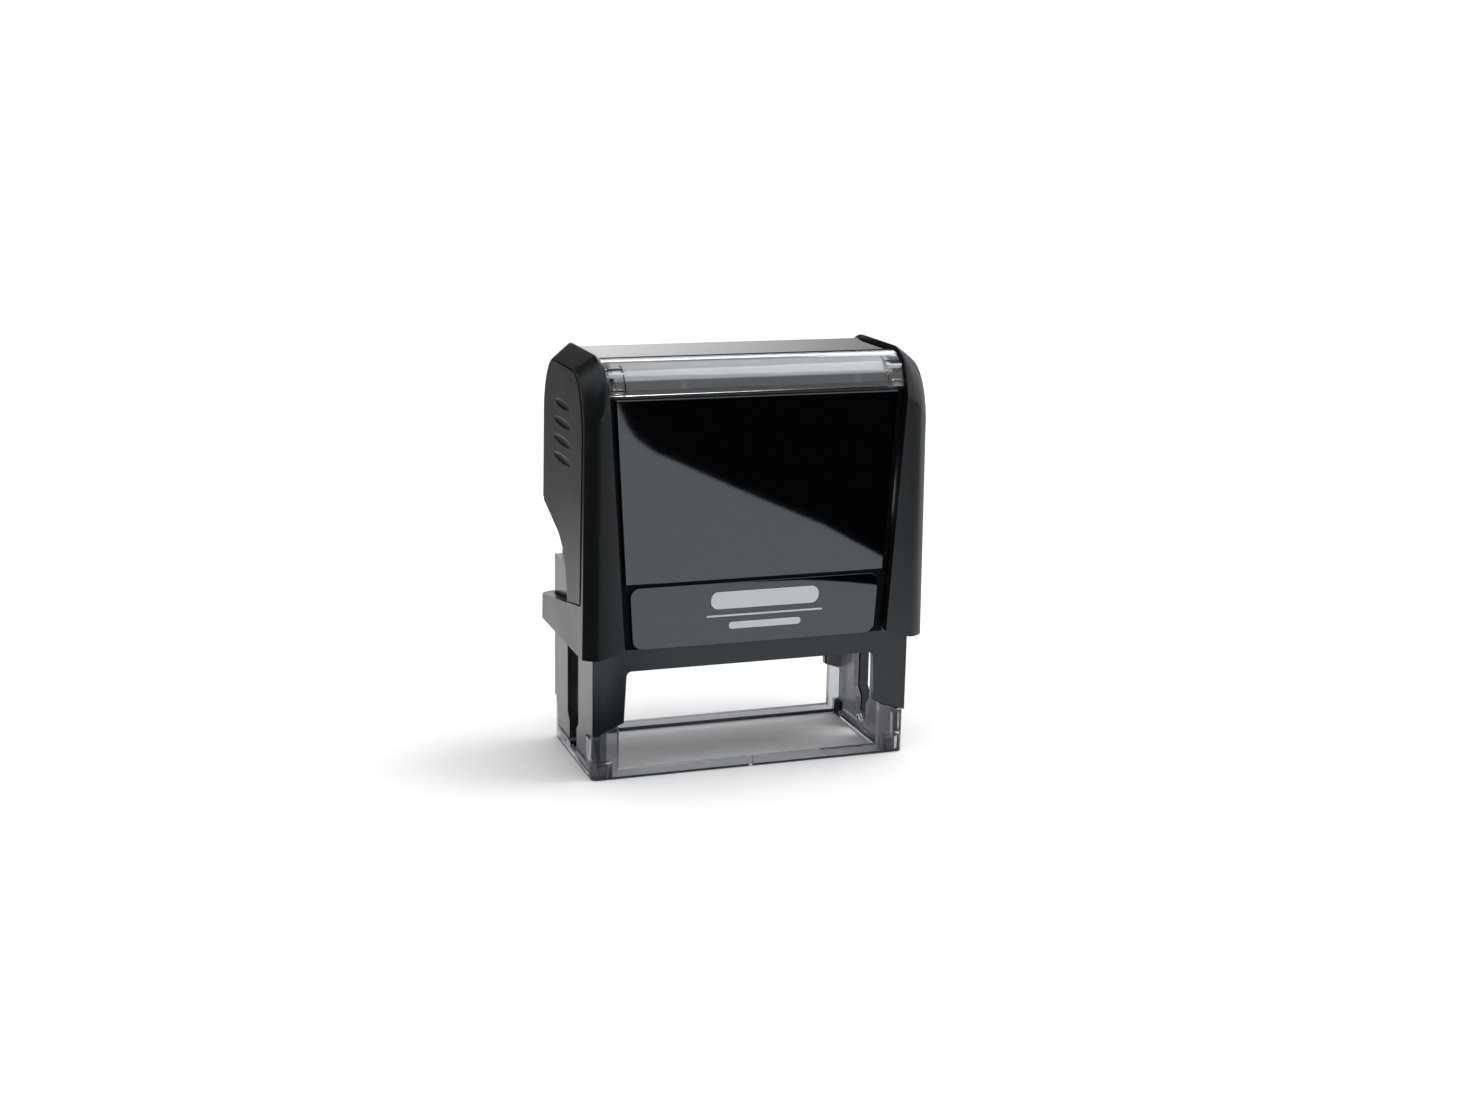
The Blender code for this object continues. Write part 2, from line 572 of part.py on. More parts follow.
def build_top(cover_finish, window_finish, card_finish, parent):
    """Top cover, the clear curved window at its front edge and the card behind it."""
    rise = TOP_FACE_Z - SHOULDER_Z
    cover = add_object("top_cover", block((-30.0, 30.0), (-7.6, 7.7), (TOP_FACE_Z - 1.2, TOP_FACE_Z)),
                       cover_finish, parent)
    boolean(cover, prism(recess_outline(20.0, 80.0, GAP), "Y", -20.0, 20.0), "INTERSECT")
    low = shoulder_angle(rise, WINDOW_BOTTOM_Z)
    start, end = 180 - low, 94
    outer = arc(-SHOULDER_Y, SHOULDER_Z, 7.2, rise, start, end, 12)
    inner = arc(-SHOULDER_Y, SHOULDER_Z, 6.4, rise - 0.8, start, end, 12)
    window = add_object("index_window", band(outer, inner, -30.0, 30.0), window_finish, parent)
    boolean(window, prism(recess_outline(20.0, 80.0, GAP), "Y", -20.0, 20.0), "INTERSECT")
    smooth(window)
    outer = arc(-SHOULDER_Y, SHOULDER_Z, 6.1, rise - 1.1, start - 8, end, 10)
    inner = arc(-SHOULDER_Y, SHOULDER_Z, 5.8, rise - 1.4, start - 8, end, 10)
    card = add_object("index_card", band(outer, inner, -24.6, 24.6), card_finish, parent)
    smooth(card)


def build_lock_button(finish, parent):
    """The small push button that holds the cap down while the cartridge is changed."""
    pivot = empty("lock_axis", (0.0, 13.3, sum(LOCK_Z) / 2), parent)
    width = (-LOCK_HALF_WIDTH, LOCK_HALF_WIDTH)
    add_object("lock_button", block(width, (12.65, 14.3), LOCK_Z), finish, pivot)


# ------------------------------------------------------------- carrier pieces

def build_carrier(finish, axle_finish, foam_finish, rubber_finish, parent):
    """The turning plate carrier on its axle, text face up against the ink pad at rest."""
    width = (-CARRIER_HALF_X, CARRIER_HALF_X)
    carrier = add_object("plate_carrier", block(width, (-8.4, 8.4), (AXLE_Z + 1.3, AXLE_Z + 3.0)),
                         finish, parent)
    for side in (-1, 1):
        cheek = [(-4.0, AXLE_Z + 2.0), (-2.6, AXLE_Z - 1.8), (2.6, AXLE_Z - 1.8), (4.0, AXLE_Z + 2.0)]
        boolean(carrier, prism(cheek, "X", *sorted((side * 24.0, side * CARRIER_HALF_X))), "UNION")
    for x in (-14.0, 0.0, 14.0):
        rib = [(-3.4, AXLE_Z + 1.6), (-2.2, AXLE_Z - 2.0), (2.2, AXLE_Z - 2.0), (3.4, AXLE_Z + 1.6)]
        boolean(carrier, prism(rib, "X", x - 0.8, x + 0.8), "UNION")
    boolean(carrier, rod(AXLE_RADIUS + GAP, "X", -26.0, 26.0, (0.0, AXLE_Z), 24))
    axle = add_object("carrier_axle", rod(AXLE_RADIUS, "X", -29.2, 29.2, (0.0, AXLE_Z), 24),
                      axle_finish, parent)
    smooth(axle)
    add_object("plate_cushion", block((-PLATE_HALF_X, PLATE_HALF_X), (-8.7, 8.7),
                                      (AXLE_Z + 3.3, AXLE_Z + 4.1)), foam_finish, parent)
    top = AXLE_Z + FACE_HEIGHT
    plate = add_object("text_plate", block((-PLATE_HALF_X, PLATE_HALF_X), (-8.8, 8.8),
                                           (AXLE_Z + 4.4, top - 0.5)), rubber_finish, parent)
    for row, half in enumerate(TEXT_ROWS):
        y = TEXT_ROW_PITCH * (row - 1.5)
        boolean(plate, block((-half, half), (y - 0.9, y + 0.9), (top - 0.8, top)), "UNION")


def build_spring(finish):
    """The return spring between the base bridge and the roof, on the roof's guide post."""
    low, high = BRIDGE_Z[1] + 0.2, ROOF_Z - 0.2
    wire, radius, turns, steps = SPRING_WIRE, SPRING_RADIUS, SPRING_TURNS, 14
    bm = bmesh.new()
    rings = []
    count = turns * steps
    for i in range(count + 1):
        share = i / count
        eased = share + 0.02 * math.sin(2 * math.pi * share)
        height = low + wire + (high - low - 2 * wire) * eased
        angle = 2 * math.pi * turns * share
        centre = Vector((radius * math.cos(angle), radius * math.sin(angle), height))
        outward = Vector((math.cos(angle), math.sin(angle), 0.0))
        ring = []
        for k in range(6):
            turn = 2 * math.pi * k / 6
            rise = Vector((0.0, 0.0, wire * math.sin(turn)))
            ring.append(bm.verts.new(centre + outward * (wire * math.cos(turn)) + rise))
        rings.append(ring)
    for first, second in zip(rings, rings[1:]):
        for k in range(6):
            j = (k + 1) % 6
            bm.faces.new((first[k], first[j], second[j], second[k]))
    bm.faces.new(rings[0])
    bm.faces.new(rings[-1])
    smooth(add_object("return_spring", bm, finish))


def main():
    for old in list(bpy.data.objects):
        bpy.data.objects.remove(old)
    black = material("matte_black_plastic", (0.045, 0.047, 0.05), 0.5)
    frame_black = material("satin_black_plastic", (0.03, 0.032, 0.034), 0.4)
    gloss = material("gloss_black_plastic", (0.012, 0.012, 0.013), 0.12)
    clear = material("smoky_clear_plastic", (0.62, 0.64, 0.66), 0.08, transmission=0.8)
    glass = material("window_clear_plastic", (0.9, 0.92, 0.93), 0.05, transmission=0.95)
    card = material("index_card_paper", (0.72, 0.73, 0.74), 0.7)
    grey = material("carrier_grey_plastic", (0.35, 0.36, 0.37), 0.5)
    steel = material("plated_steel", (0.6, 0.6, 0.61), 0.3, metallic=1.0)
    foam = material("cushion_foam", (0.12, 0.12, 0.13), 0.9)
    rubber = material("text_rubber", (0.42, 0.08, 0.07), 0.75)
    pad_black = material("foot_rubber", (0.015, 0.015, 0.016), 0.8)
    felt = material("inked_felt", (0.02, 0.02, 0.05), 0.95)
    build_base_frame(frame_black)
    build_clear_base(clear)
    build_foot_pads(pad_black)
    build_cartridge(frame_black, felt)
    build_spring(steel)
    press = empty("press_axis", (0.0, 0.0, CAP_TOP_Z))
    build_cap_shell(black, press)
    build_grips(black, press)
    build_front_panel(gloss, press)
    build_rear_panel(gloss, press)
    build_rear_strip(gloss, press)
    build_top(gloss, glass, card, press)
    build_lock_button(black, press)
    flip = empty("flip_axis", (0.0, 0.0, AXLE_Z), press)
    build_carrier(grey, steel, foam, rubber, flip)


main()
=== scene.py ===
"""Finishes for a self-inking text stamp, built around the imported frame.

Lengths are metres. MM turns a size that is easier to read in millimetres into metres.
"""

import json
import logging
import math
from contextlib import contextmanager
from dataclasses import dataclass, field
from enum import Enum
from typing import Callable, Iterator

import bmesh
import bpy
from mathutils import Matrix, Vector

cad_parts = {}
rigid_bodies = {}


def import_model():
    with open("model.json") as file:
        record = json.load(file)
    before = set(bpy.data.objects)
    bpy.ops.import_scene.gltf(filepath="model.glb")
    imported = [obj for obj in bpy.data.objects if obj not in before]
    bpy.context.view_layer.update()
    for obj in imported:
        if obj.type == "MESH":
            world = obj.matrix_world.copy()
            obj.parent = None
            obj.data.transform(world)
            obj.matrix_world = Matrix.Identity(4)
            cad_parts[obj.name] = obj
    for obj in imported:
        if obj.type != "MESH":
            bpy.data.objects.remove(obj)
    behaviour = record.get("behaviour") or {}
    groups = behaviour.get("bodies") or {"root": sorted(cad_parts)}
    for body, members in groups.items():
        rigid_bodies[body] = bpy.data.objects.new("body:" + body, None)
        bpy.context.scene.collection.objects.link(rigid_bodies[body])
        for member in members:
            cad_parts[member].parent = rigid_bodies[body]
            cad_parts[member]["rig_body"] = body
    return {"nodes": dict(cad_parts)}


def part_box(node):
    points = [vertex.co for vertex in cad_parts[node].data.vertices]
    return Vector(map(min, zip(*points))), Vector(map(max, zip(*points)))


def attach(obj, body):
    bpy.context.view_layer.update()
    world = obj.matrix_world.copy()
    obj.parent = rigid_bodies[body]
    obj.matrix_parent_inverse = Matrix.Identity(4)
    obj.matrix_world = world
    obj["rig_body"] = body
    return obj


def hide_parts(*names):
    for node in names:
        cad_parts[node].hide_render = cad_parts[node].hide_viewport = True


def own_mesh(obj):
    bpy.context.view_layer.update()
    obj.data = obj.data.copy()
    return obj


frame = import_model()

MM = 0.001
SHARP = 38.0        # degrees above which a shaded edge stays sharp
CLOSE = 0.1 * MM    # how near a place an edge counts as lying on it
LOG = logging.getLogger("stamp")

EdgeTest = Callable[[Vector, Vector], bool]
PointTest = Callable[[Vector], bool]
Colour = tuple[float, float, float]
Outline = tuple[tuple[float, float, float], ...]


class Side(Enum):
    """Left or right end of the stamp, as the sign of X."""

    LEFT = -1
    RIGHT = 1


# ------------------------------------------------------------------ modelling


def deselect_all() -> None:
    """Leaves nothing selected, so that an operator acts on its own piece only."""
    for shown in list(bpy.context.selected_objects):
        shown.select_set(False)


def make_active(piece: bpy.types.Object) -> None:
    """Selects one piece alone and makes it the active one.

    Args:
        piece: The piece that the next operators act on.
    """
    deselect_all()
    bpy.context.view_layer.objects.active = piece
    piece.select_set(True)


@contextmanager
def edit_mode(piece: bpy.types.Object, kind: str = "EDGE") -> Iterator[bmesh.types.BMesh]:
    """Opens a piece in edit mode with nothing selected.

    Args:
        piece: The piece to edit.
        kind: VERT, EDGE or FACE, the select mode.

    Returns:
        The edit mesh, in which elements are selected by their place.
    """
    make_active(piece)
    bpy.ops.object.mode_set(mode="EDIT")
    bpy.ops.mesh.select_mode(type=kind)
    bpy.ops.mesh.select_all(action="DESELECT")
    yield bmesh.from_edit_mesh(piece.data)
    bpy.ops.object.mode_set(mode="OBJECT")


def select_edges(mesh: bmesh.types.BMesh, test: EdgeTest) -> None:
    """Selects the edges whose two ends pass a test.

    Args:
        mesh: The edit mesh.
        test: Takes both ends of an edge.
    """
    for edge in mesh.edges:
        edge.select_set(test(edge.verts[0].co, edge.verts[1].co))
    mesh.select_flush_mode()


def settle(piece: bpy.types.Object) -> bpy.types.Object:
    """Puts a piece's place, turn and size into its mesh."""
    make_active(piece)
    bpy.ops.object.transform_apply(location=True, rotation=True, scale=True)
    return piece


def add_block(name: str, low: Vector, high: Vector) -> bpy.types.Object:
    """A box between two corners, ready to be shaped.

    Args:
        name: The piece's name.
        low: Its lowest corner.
        high: Its highest corner.

    Returns:
        The new piece, with its place in its mesh.
    """
    deselect_all()
    bpy.ops.mesh.primitive_cube_add(size=1.0, location=(low + high) / 2)
    piece = bpy.context.object
    piece.name = name
    piece.scale = high - low
    return settle(piece)


def add_rod(name: str, radius: float, low: Vector, high: Vector, sides: int = 48) -> bpy.types.Object:
    """A round rod between two points, ready to be shaped.

    Args:
        name: The piece's name.
        radius: The rod's radius.
        low: The middle of one end.
        high: The middle of the other end.
        sides: How many sides it has.

    Returns:
        The new piece, with its place in its mesh.
    """
    deselect_all()
    along = high - low
    turn = along.to_track_quat("Z", "Y").to_euler()
    bpy.ops.mesh.primitive_cylinder_add(vertices=sides, radius=radius, depth=along.length,
                                        location=(low + high) / 2, rotation=turn)
    piece = bpy.context.object
    piece.name = name
    return settle(piece)


def bevel_edges(piece: bpy.types.Object, test: EdgeTest, width: float, segments: int) -> None:
    """Bevels the edges that pass a test.

    Args:
        piece: The piece to shape.
        test: Takes both ends of an edge.
        width: The bevel's width.
        segments: How many faces it is made of.
    """
    with edit_mode(piece) as mesh:
        select_edges(mesh, test)
        bmesh.update_edit_mesh(piece.data)
        bpy.ops.mesh.bevel(offset=width, segments=segments, clamp_overlap=True)


def cut_out(piece: bpy.types.Object, tool: bpy.types.Object) -> None:
    """Cuts a tool out of a piece and removes the tool.

    Args:
        piece: The piece to shape.
        tool: The closed shape that is cut out.
    """
    make_active(piece)
    step = piece.modifiers.new("shape", "BOOLEAN")
    step.operation = "DIFFERENCE"
    step.object = tool
    step.solver = "EXACT"
    bpy.ops.object.modifier_apply(modifier=step.name)
    bpy.data.objects.remove(tool)


def soften(piece: bpy.types.Object, width: float, segments: int = 2, limit: float = 28.0) -> None:
    """Rounds a piece's sharp edges by a small radius and shades it smooth.

    Args:
        piece: The piece to finish.
        width: The rounding's width.
        segments: How many faces the rounding is made of.
        limit: The smallest angle, in degrees, that counts as sharp.
    """
    make_active(piece)
    step = piece.modifiers.new("soft_edges", "BEVEL")
    step.width = width
    step.segments = segments
    step.limit_method = "ANGLE"
    step.angle_limit = math.radians(limit)
    step.miter_outer = "MITER_ARC"
    step.use_clamp_overlap = True
    bpy.ops.object.modifier_apply(modifier=step.name)
    bpy.ops.object.shade_smooth_by_angle(angle=math.radians(SHARP))
    step = piece.modifiers.new("even_normals", "WEIGHTED_NORMAL")
    step.keep_sharp = True
    bpy.ops.object.modifier_apply(modifier=step.name)


@dataclass(frozen=True)
class Rounding:
    """A wider rounding for the few edges that pass a test."""

    test: EdgeTest
    width: float
    segments: int = 5


def refined(node: str, width: float = 0.15 * MM, segments: int = 2, limit: float = 28.0,
            roundings: tuple[Rounding, ...] = ()) -> bpy.types.Object:
    """A copy of a frame node with whole faces and softened edges.

    Args:
        node: The frame node to copy.
        width: How wide its edges are rounded.
        segments: How many faces each rounding is made of.
        limit: The smallest angle, in degrees, that counts as an edge.
        roundings: Wider roundings that come first.

    Returns:
        The new piece, which stands for the node.
    """
    source = frame["nodes"][node]
    piece = bpy.data.objects.new(f"{node}_shape", source.data.copy())
    bpy.context.scene.collection.objects.link(piece)
    piece.data.materials.clear()
    with edit_mode(piece, "VERT"):
        bpy.ops.mesh.select_all(action="SELECT")
        bpy.ops.mesh.remove_doubles(threshold=0.0005 * MM)
        bpy.ops.mesh.customdata_custom_splitnormals_clear()
        bpy.ops.mesh.dissolve_limited(angle_limit=math.radians(0.6))
    for rounding in roundings:
        bevel_edges(piece, rounding.test, rounding.width, rounding.segments)
    soften(piece, width, segments, limit)
    return piece


def upright_at(x: float, y: float) -> EdgeTest:
    """A test for upright edges.

    Args:
        x: Their distance from the middle, to either side.
        y: Their distance from the middle, to the front or the rear.

    Returns:
        The test.
    """
    def test(a: Vector, b: Vector) -> bool:
        """Whether an edge between two points is such an edge."""
        near = all(abs(abs(v.x) - x) < CLOSE and abs(abs(v.y) - y) < CLOSE for v in (a, b))
        return near and abs(a.z - b.z) > 3 * CLOSE

    return test


def depth_edge_at(x: float, z: float) -> EdgeTest:
    """A test for edges that run front to back.

    Args:
        x: Their distance from the middle, to either side.
        z: Their height.

    Returns:
        The test.
    """
    def test(a: Vector, b: Vector) -> bool:
        """Whether an edge between two points is such an edge."""
        near = all(abs(abs(v.x) - x) < CLOSE and abs(v.z - z) < CLOSE for v in (a, b))
        return near and abs(a.y - b.y) > 3 * CLOSE

    return test


def outline_at(low: Vector, high: Vector, radius: float) -> EdgeTest:
    """A test for the lowest outer edges of a box with rounded upright corners.

    Args:
        low: The box's lowest corner.
        high: The box's highest corner.
        radius: The radius of its upright corners.

    Returns:
        The test.
    """
    def on_outline(v: Vector) -> bool:
        """Whether a point lies on the lowest outline."""
        side = abs(v.x) > high.x - CLOSE / 2 or abs(v.y) > high.y - CLOSE / 2
        past_x = abs(v.x) - (high.x - radius)
        past_y = abs(v.y) - (high.y - radius)
        turned = min(past_x, past_y) > 0 and math.hypot(past_x, past_y) > radius - 0.8 * CLOSE
        return v.z < low.z + CLOSE / 2 and (side or turned)

    def test(a: Vector, b: Vector) -> bool:
        """Whether both ends of an edge lie on the lowest outline."""
        return on_outline(a) and on_outline(b)

    return test


def crown(piece: bpy.types.Object, test: PointTest, depth_at: Callable[[Vector], float]) -> None:
    """Pushes the points of a face back by a depth that changes over the face.

    Args:
        piece: The piece to shape.
        test: Which points belong to the face.
        depth_at: How far back a point goes.
    """
    with edit_mode(piece, "VERT") as mesh:
        groups: dict[float, list[bmesh.types.BMVert]] = {}
        for point in mesh.verts:
            if test(point.co):
                groups.setdefault(round(depth_at(point.co), 6), []).append(point)
        for depth, points in groups.items():
            bpy.ops.mesh.select_all(action="DESELECT")
            for point in points:
                point.select_set(True)
            bpy.ops.transform.translate(value=(0.0, depth, 0.0))


def cut_across(piece: bpy.types.Object, place: Vector, normal: Vector, clear: bool = False) -> None:
    """Adds a row of edges where a plane crosses a piece, or cuts off what lies beyond the plane.

    Args:
        piece: The piece to shape.
        place: A point on the plane.
        normal: The plane's direction.
        clear: Whether the part beyond the plane goes, its hole filled.
    """
    with edit_mode(piece, "FACE"):
        bpy.ops.mesh.select_all(action="SELECT")
        bpy.ops.mesh.bisect(plane_co=place, plane_no=normal, use_fill=clear, clear_outer=clear)


def stand_in(piece: bpy.types.Object, material: bpy.types.Material, slot: str, *nodes: str) -> None:
    """Dresses a piece, lets it ride with its node's body and stand for its nodes.

    Args:
        piece: The finished piece.
        material: Its material.
        slot: The record's material slot it belongs to; not used.
        nodes: The frame nodes it stands for.
    """
    if not piece.data.materials:
        piece.data.materials.append(material)
    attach(piece, frame["nodes"][nodes[0]]["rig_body"])
    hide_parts(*nodes)
    LOG.info("%s stands for %s", piece.name, ", ".join(nodes))


# ------------------------------------------------------------------- finishes


class Groups:
    """Shader node groups that several finishes share, each built once."""

    _made: dict[str, bpy.types.NodeTree] = {}

    @classmethod
    def _new(cls, name: str, inputs: dict[str, float], outputs: tuple[str, ...]) -> bpy.types.NodeTree:
        """An empty group with number inputs and number outputs.

        Args:
            name: The group's name.
            inputs: Its inputs and their usual values.
            outputs: Its outputs.

        Returns:
            The new group.
        """
        tree = bpy.data.node_groups.new(name, "ShaderNodeTree")
        for label, value in inputs.items():
            made = tree.interface.new_socket(label, in_out="INPUT", socket_type="NodeSocketFloat")
            made.default_value = value
        for label in outputs:
            tree.interface.new_socket(label, in_out="OUTPUT", socket_type="NodeSocketFloat")
        tree.nodes.new("NodeGroupInput")
        tree.nodes.new("NodeGroupOutput")
        cls._made[name] = tree
        return tree

    @classmethod
    def grain(cls) -> bpy.types.NodeTree:
        """Fine spark-eroded texture: a height and a slow change of sheen.

        Returns:
            The group.
        """
        if "mould_grain" in cls._made:
            return cls._made["mould_grain"]
        tree = cls._new("mould_grain", {"Scale": 9000.0, "Slow Scale": 90.0}, ("Height", "Sheen"))
        link = tree.links.new
        given, out = tree.nodes["Group Input"], tree.nodes["Group Output"]
        place = tree.nodes.new("ShaderNodeTexCoord")
        fine = tree.nodes.new("ShaderNodeTexNoise")
        fine.inputs["Detail"].default_value = 3.0
        slow = tree.nodes.new("ShaderNodeTexNoise")
        slow.inputs["Detail"].default_value = 4.0
        link(place.outputs["Object"], fine.inputs["Vector"])
        link(place.outputs["Object"], slow.inputs["Vector"])
        link(given.outputs["Scale"], fine.inputs["Scale"])
        link(given.outputs["Slow Scale"], slow.inputs["Scale"])
        link(fine.outputs["Fac"], out.inputs["Height"])
        link(slow.outputs["Fac"], out.inputs["Sheen"])
        return tree

    @classmethod
    def dust(cls) -> bpy.types.NodeTree:
        """Faint settled dust: a mask that is strongest on faces that look up.

        Returns:
            The group.
        """
        if "settled_dust" in cls._made:
            return cls._made["settled_dust"]
        tree = cls._new("settled_dust", {"Scale": 700.0, "Amount": 0.05}, ("Mask",))
        link = tree.links.new
        given, out = tree.nodes["Group Input"], tree.nodes["Group Output"]
        place = tree.nodes.new("ShaderNodeTexCoord")
        specks = tree.nodes.new("ShaderNodeTexNoise")
        specks.inputs["Detail"].default_value = 6.0
        ramp = tree.nodes.new("ShaderNodeMapRange")
        ramp.inputs["From Min"].default_value = 0.52
        ramp.inputs["From Max"].default_value = 0.75
        facing = tree.nodes.new("ShaderNodeNewGeometry")
        split = tree.nodes.new("ShaderNodeSeparateXYZ")
        upward = tree.nodes.new("ShaderNodeMapRange")
        upward.inputs["From Min"].default_value = 0.0
        upward.inputs["To Min"].default_value = 0.25
        both = tree.nodes.new("ShaderNodeMath")
        both.operation = "MULTIPLY"
        scaled = tree.nodes.new("ShaderNodeMath")
        scaled.operation = "MULTIPLY"
        link(place.outputs["Object"], specks.inputs["Vector"])
        link(given.outputs["Scale"], specks.inputs["Scale"])
        link(specks.outputs["Fac"], ramp.inputs["Value"])
        link(facing.outputs["Normal"], split.inputs["Vector"])
        link(split.outputs["Z"], upward.inputs["Value"])
        link(ramp.outputs["Result"], both.inputs[0])
        link(upward.outputs["Result"], both.inputs[1])
        link(both.outputs["Value"], scaled.inputs[0])
        link(given.outputs["Amount"], scaled.inputs[1])
        link(scaled.outputs["Value"], out.inputs["Mask"])
        return tree


def group_node(tree: bpy.types.NodeTree, group: bpy.types.NodeTree,
               values: dict[str, float]) -> bpy.types.Node:
    """Places a shared group in a material with its own values.

    Args:
        tree: The material's tree.
        group: The group to place.
        values: Values for the group's inputs, by name.

    Returns:
        The group's node.
    """
    node = tree.nodes.new("ShaderNodeGroup")
    node.node_tree = group
    for label, value in values.items():
        node.inputs[label].default_value = value
    return node


def colour_mix(tree: bpy.types.NodeTree, first: Colour, second: Colour) -> bpy.types.Node:
    """A colour mix node between two plain colours.

    Args:
        tree: The material's tree.
        first: The colour where the factor is 0.
        second: The colour where the factor is 1.

    Returns:
        The mix node, whose factor is its first input.
    """
    node = tree.nodes.new("ShaderNodeMix")
    node.data_type = "RGBA"
    node.inputs[6].default_value = (*first, 1.0)
    node.inputs[7].default_value = (*second, 1.0)
    return node


def shaded(colour: Colour, share: float) -> Colour:
    """A colour made darker or lighter.

    Args:
        colour: The colour to start from.
        share: What it is multiplied by.

    Returns:
        The new colour.
    """
    return tuple(share * part for part in colour)


def new_material(name: str) -> tuple[bpy.types.Material, bpy.types.Node]:
    """A material with a principled shader.

    Args:
        name: The material's name.

    Returns:
        The material and its shader.
    """
    made = bpy.data.materials.new(name)
    made.use_nodes = True
    return made, made.node_tree.nodes["Principled BSDF"]


def vary_roughness(shader: bpy.types.Node, source: bpy.types.NodeSocket, low: float, high: float) -> None:
    """Lets a pattern move a shader's roughness between two values.

    Args:
        shader: The shader.
        source: The pattern, from 0 to 1.
        low: The roughness at 0.
        high: The roughness at 1.
    """
    tree = shader.id_data
    sheen = tree.nodes.new("ShaderNodeMapRange")
    sheen.inputs["To Min"].default_value = low
    sheen.inputs["To Max"].default_value = high
    tree.links.new(source, sheen.inputs["Value"])
    tree.links.new(sheen.outputs["Result"], shader.inputs["Roughness"])


def add_relief(shader: bpy.types.Node, source: bpy.types.NodeSocket, height: float) -> None:
    """Lets a pattern stand out of a shader's surface.

    Args:
        shader: The shader.
        source: The pattern, from 0 to 1.
        height: How high it stands.
    """
    tree = shader.id_data
    bump = tree.nodes.new("ShaderNodeBump")
    bump.inputs["Distance"].default_value = height
    tree.links.new(source, bump.inputs["Height"])
    tree.links.new(bump.outputs["Normal"], shader.inputs["Normal"])


@dataclass(frozen=True)
class Plastic:
    """Moulded plastic with grain in its surface, a slow change of sheen and a trace of dust."""

    name: str
    colour: Colour
    roughness: float
    spread: float = 0.08
    grain: float = 9000.0
    height: float = 0.004 * MM
    dust: float = 0.04
    dust_colour: Colour = (0.35, 0.35, 0.36)
    ior: float = 1.5
    sheen_tint: Colour = (0.88, 0.94, 1.0)

    def build(self) -> bpy.types.Material:
        """Makes the material.

        Returns:
            The finished material.
        """
        made, shader = new_material(self.name)
        tree = made.node_tree
        shader.inputs["IOR"].default_value = self.ior
        shader.inputs["Specular Tint"].default_value = (*self.sheen_tint, 1.0)
        link = tree.links.new
        grain = group_node(tree, Groups.grain(), {"Scale": self.grain})
        dust = group_node(tree, Groups.dust(), {"Amount": self.dust})
        tint = colour_mix(tree, self.colour, self.dust_colour)
        link(dust.outputs["Mask"], tint.inputs[0])
        link(tint.outputs[2], shader.inputs["Base Color"])
        low, high = self.roughness - self.spread, self.roughness + self.spread
        vary_roughness(shader, grain.outputs["Sheen"], low, high)
        add_relief(shader, grain.outputs["Height"], self.height)
        return made


@dataclass(frozen=True)
class ClearPlastic:
    """See-through plastic with a slight tint and faint flow marks."""

    name: str
    colour: Colour
    roughness: float
    transmission: float = 1.0
    ior: float = 1.46
    flow: float = 220.0
    ripple: float = 0.002 * MM

    def build(self) -> bpy.types.Material:
        """Makes the material.

        Returns:
            The finished material.
        """
        made, shader = new_material(self.name)
        tree = made.node_tree
        shader.inputs["IOR"].default_value = self.ior
        shader.inputs["Transmission Weight"].default_value = self.transmission
        link = tree.links.new
        grain = group_node(tree, Groups.grain(), {"Scale": self.flow, "Slow Scale": 60.0})
        tint = colour_mix(tree, self.colour, shaded(self.colour, 0.9))
        link(grain.outputs["Sheen"], tint.inputs[0])
        link(tint.outputs[2], shader.inputs["Base Color"])
        vary_roughness(shader, grain.outputs["Sheen"], self.roughness * 0.6, self.roughness * 1.4)
        add_relief(shader, grain.outputs["Height"], self.ripple)
        return made


@dataclass(frozen=True)
class BandedCard:
    """Card stock with a dark strip of painted shade along its foot, for the dark seen below the card in the
    window, and two faint lighter marks in that strip painted in for lit ribs behind the window.
    """

    name: str
    paper: Colour
    band_shade: Colour
    band_top: float
    marks: tuple[float, float]
    band_edge: float = 0.15 * MM
    mark_half_width: float = 0.45 * MM
    roughness: float = 0.6

    def build(self) -> bpy.types.Material:
        """Makes the material.

        Returns:
            The finished material.
        """
        made, shader = new_material(self.name)
        tree = made.node_tree
        link = tree.links.new
        grain = group_node(tree, Groups.grain(), {"Scale": 2500.0, "Slow Scale": 260.0})
        place = tree.nodes.new("ShaderNodeTexCoord")
        split = tree.nodes.new("ShaderNodeSeparateXYZ")
        link(place.outputs["Object"], split.inputs["Vector"])
        edge = tree.nodes.new("ShaderNodeMapRange")
        edge.inputs["From Min"].default_value = self.band_top - self.band_edge
        edge.inputs["From Max"].default_value = self.band_top + self.band_edge
        link(split.outputs["Z"], edge.inputs["Value"])
        fibre = colour_mix(tree, self.paper, shaded(self.paper, 0.82))
        link(grain.outputs["Sheen"], fibre.inputs[0])
        # Painted shade: the dark strip along the foot, with two lighter marks painted in for lit ribs behind
        # the window.
        painted_shade = colour_mix(tree, self.band_shade, shaded(self.band_shade, 3.0))
        near = []
        for at in self.marks:
            step = tree.nodes.new("ShaderNodeMath")
            step.operation = "COMPARE"
            step.inputs[1].default_value = at
            step.inputs[2].default_value = self.mark_half_width
            link(split.outputs["X"], step.inputs[0])
            near.append(step)
        either = tree.nodes.new("ShaderNodeMath")
        either.operation = "MAXIMUM"
        link(near[0].outputs["Value"], either.inputs[0])
        link(near[1].outputs["Value"], either.inputs[1])
        link(either.outputs["Value"], painted_shade.inputs[0])
        both = colour_mix(tree, self.band_shade, self.paper)
        link(edge.outputs["Result"], both.inputs[0])
        link(painted_shade.outputs[2], both.inputs[6])
        link(fibre.outputs[2], both.inputs[7])
        link(both.outputs[2], shader.inputs["Base Color"])
        vary_roughness(shader, grain.outputs["Height"], self.roughness - 0.1, self.roughness + 0.1)
        return made


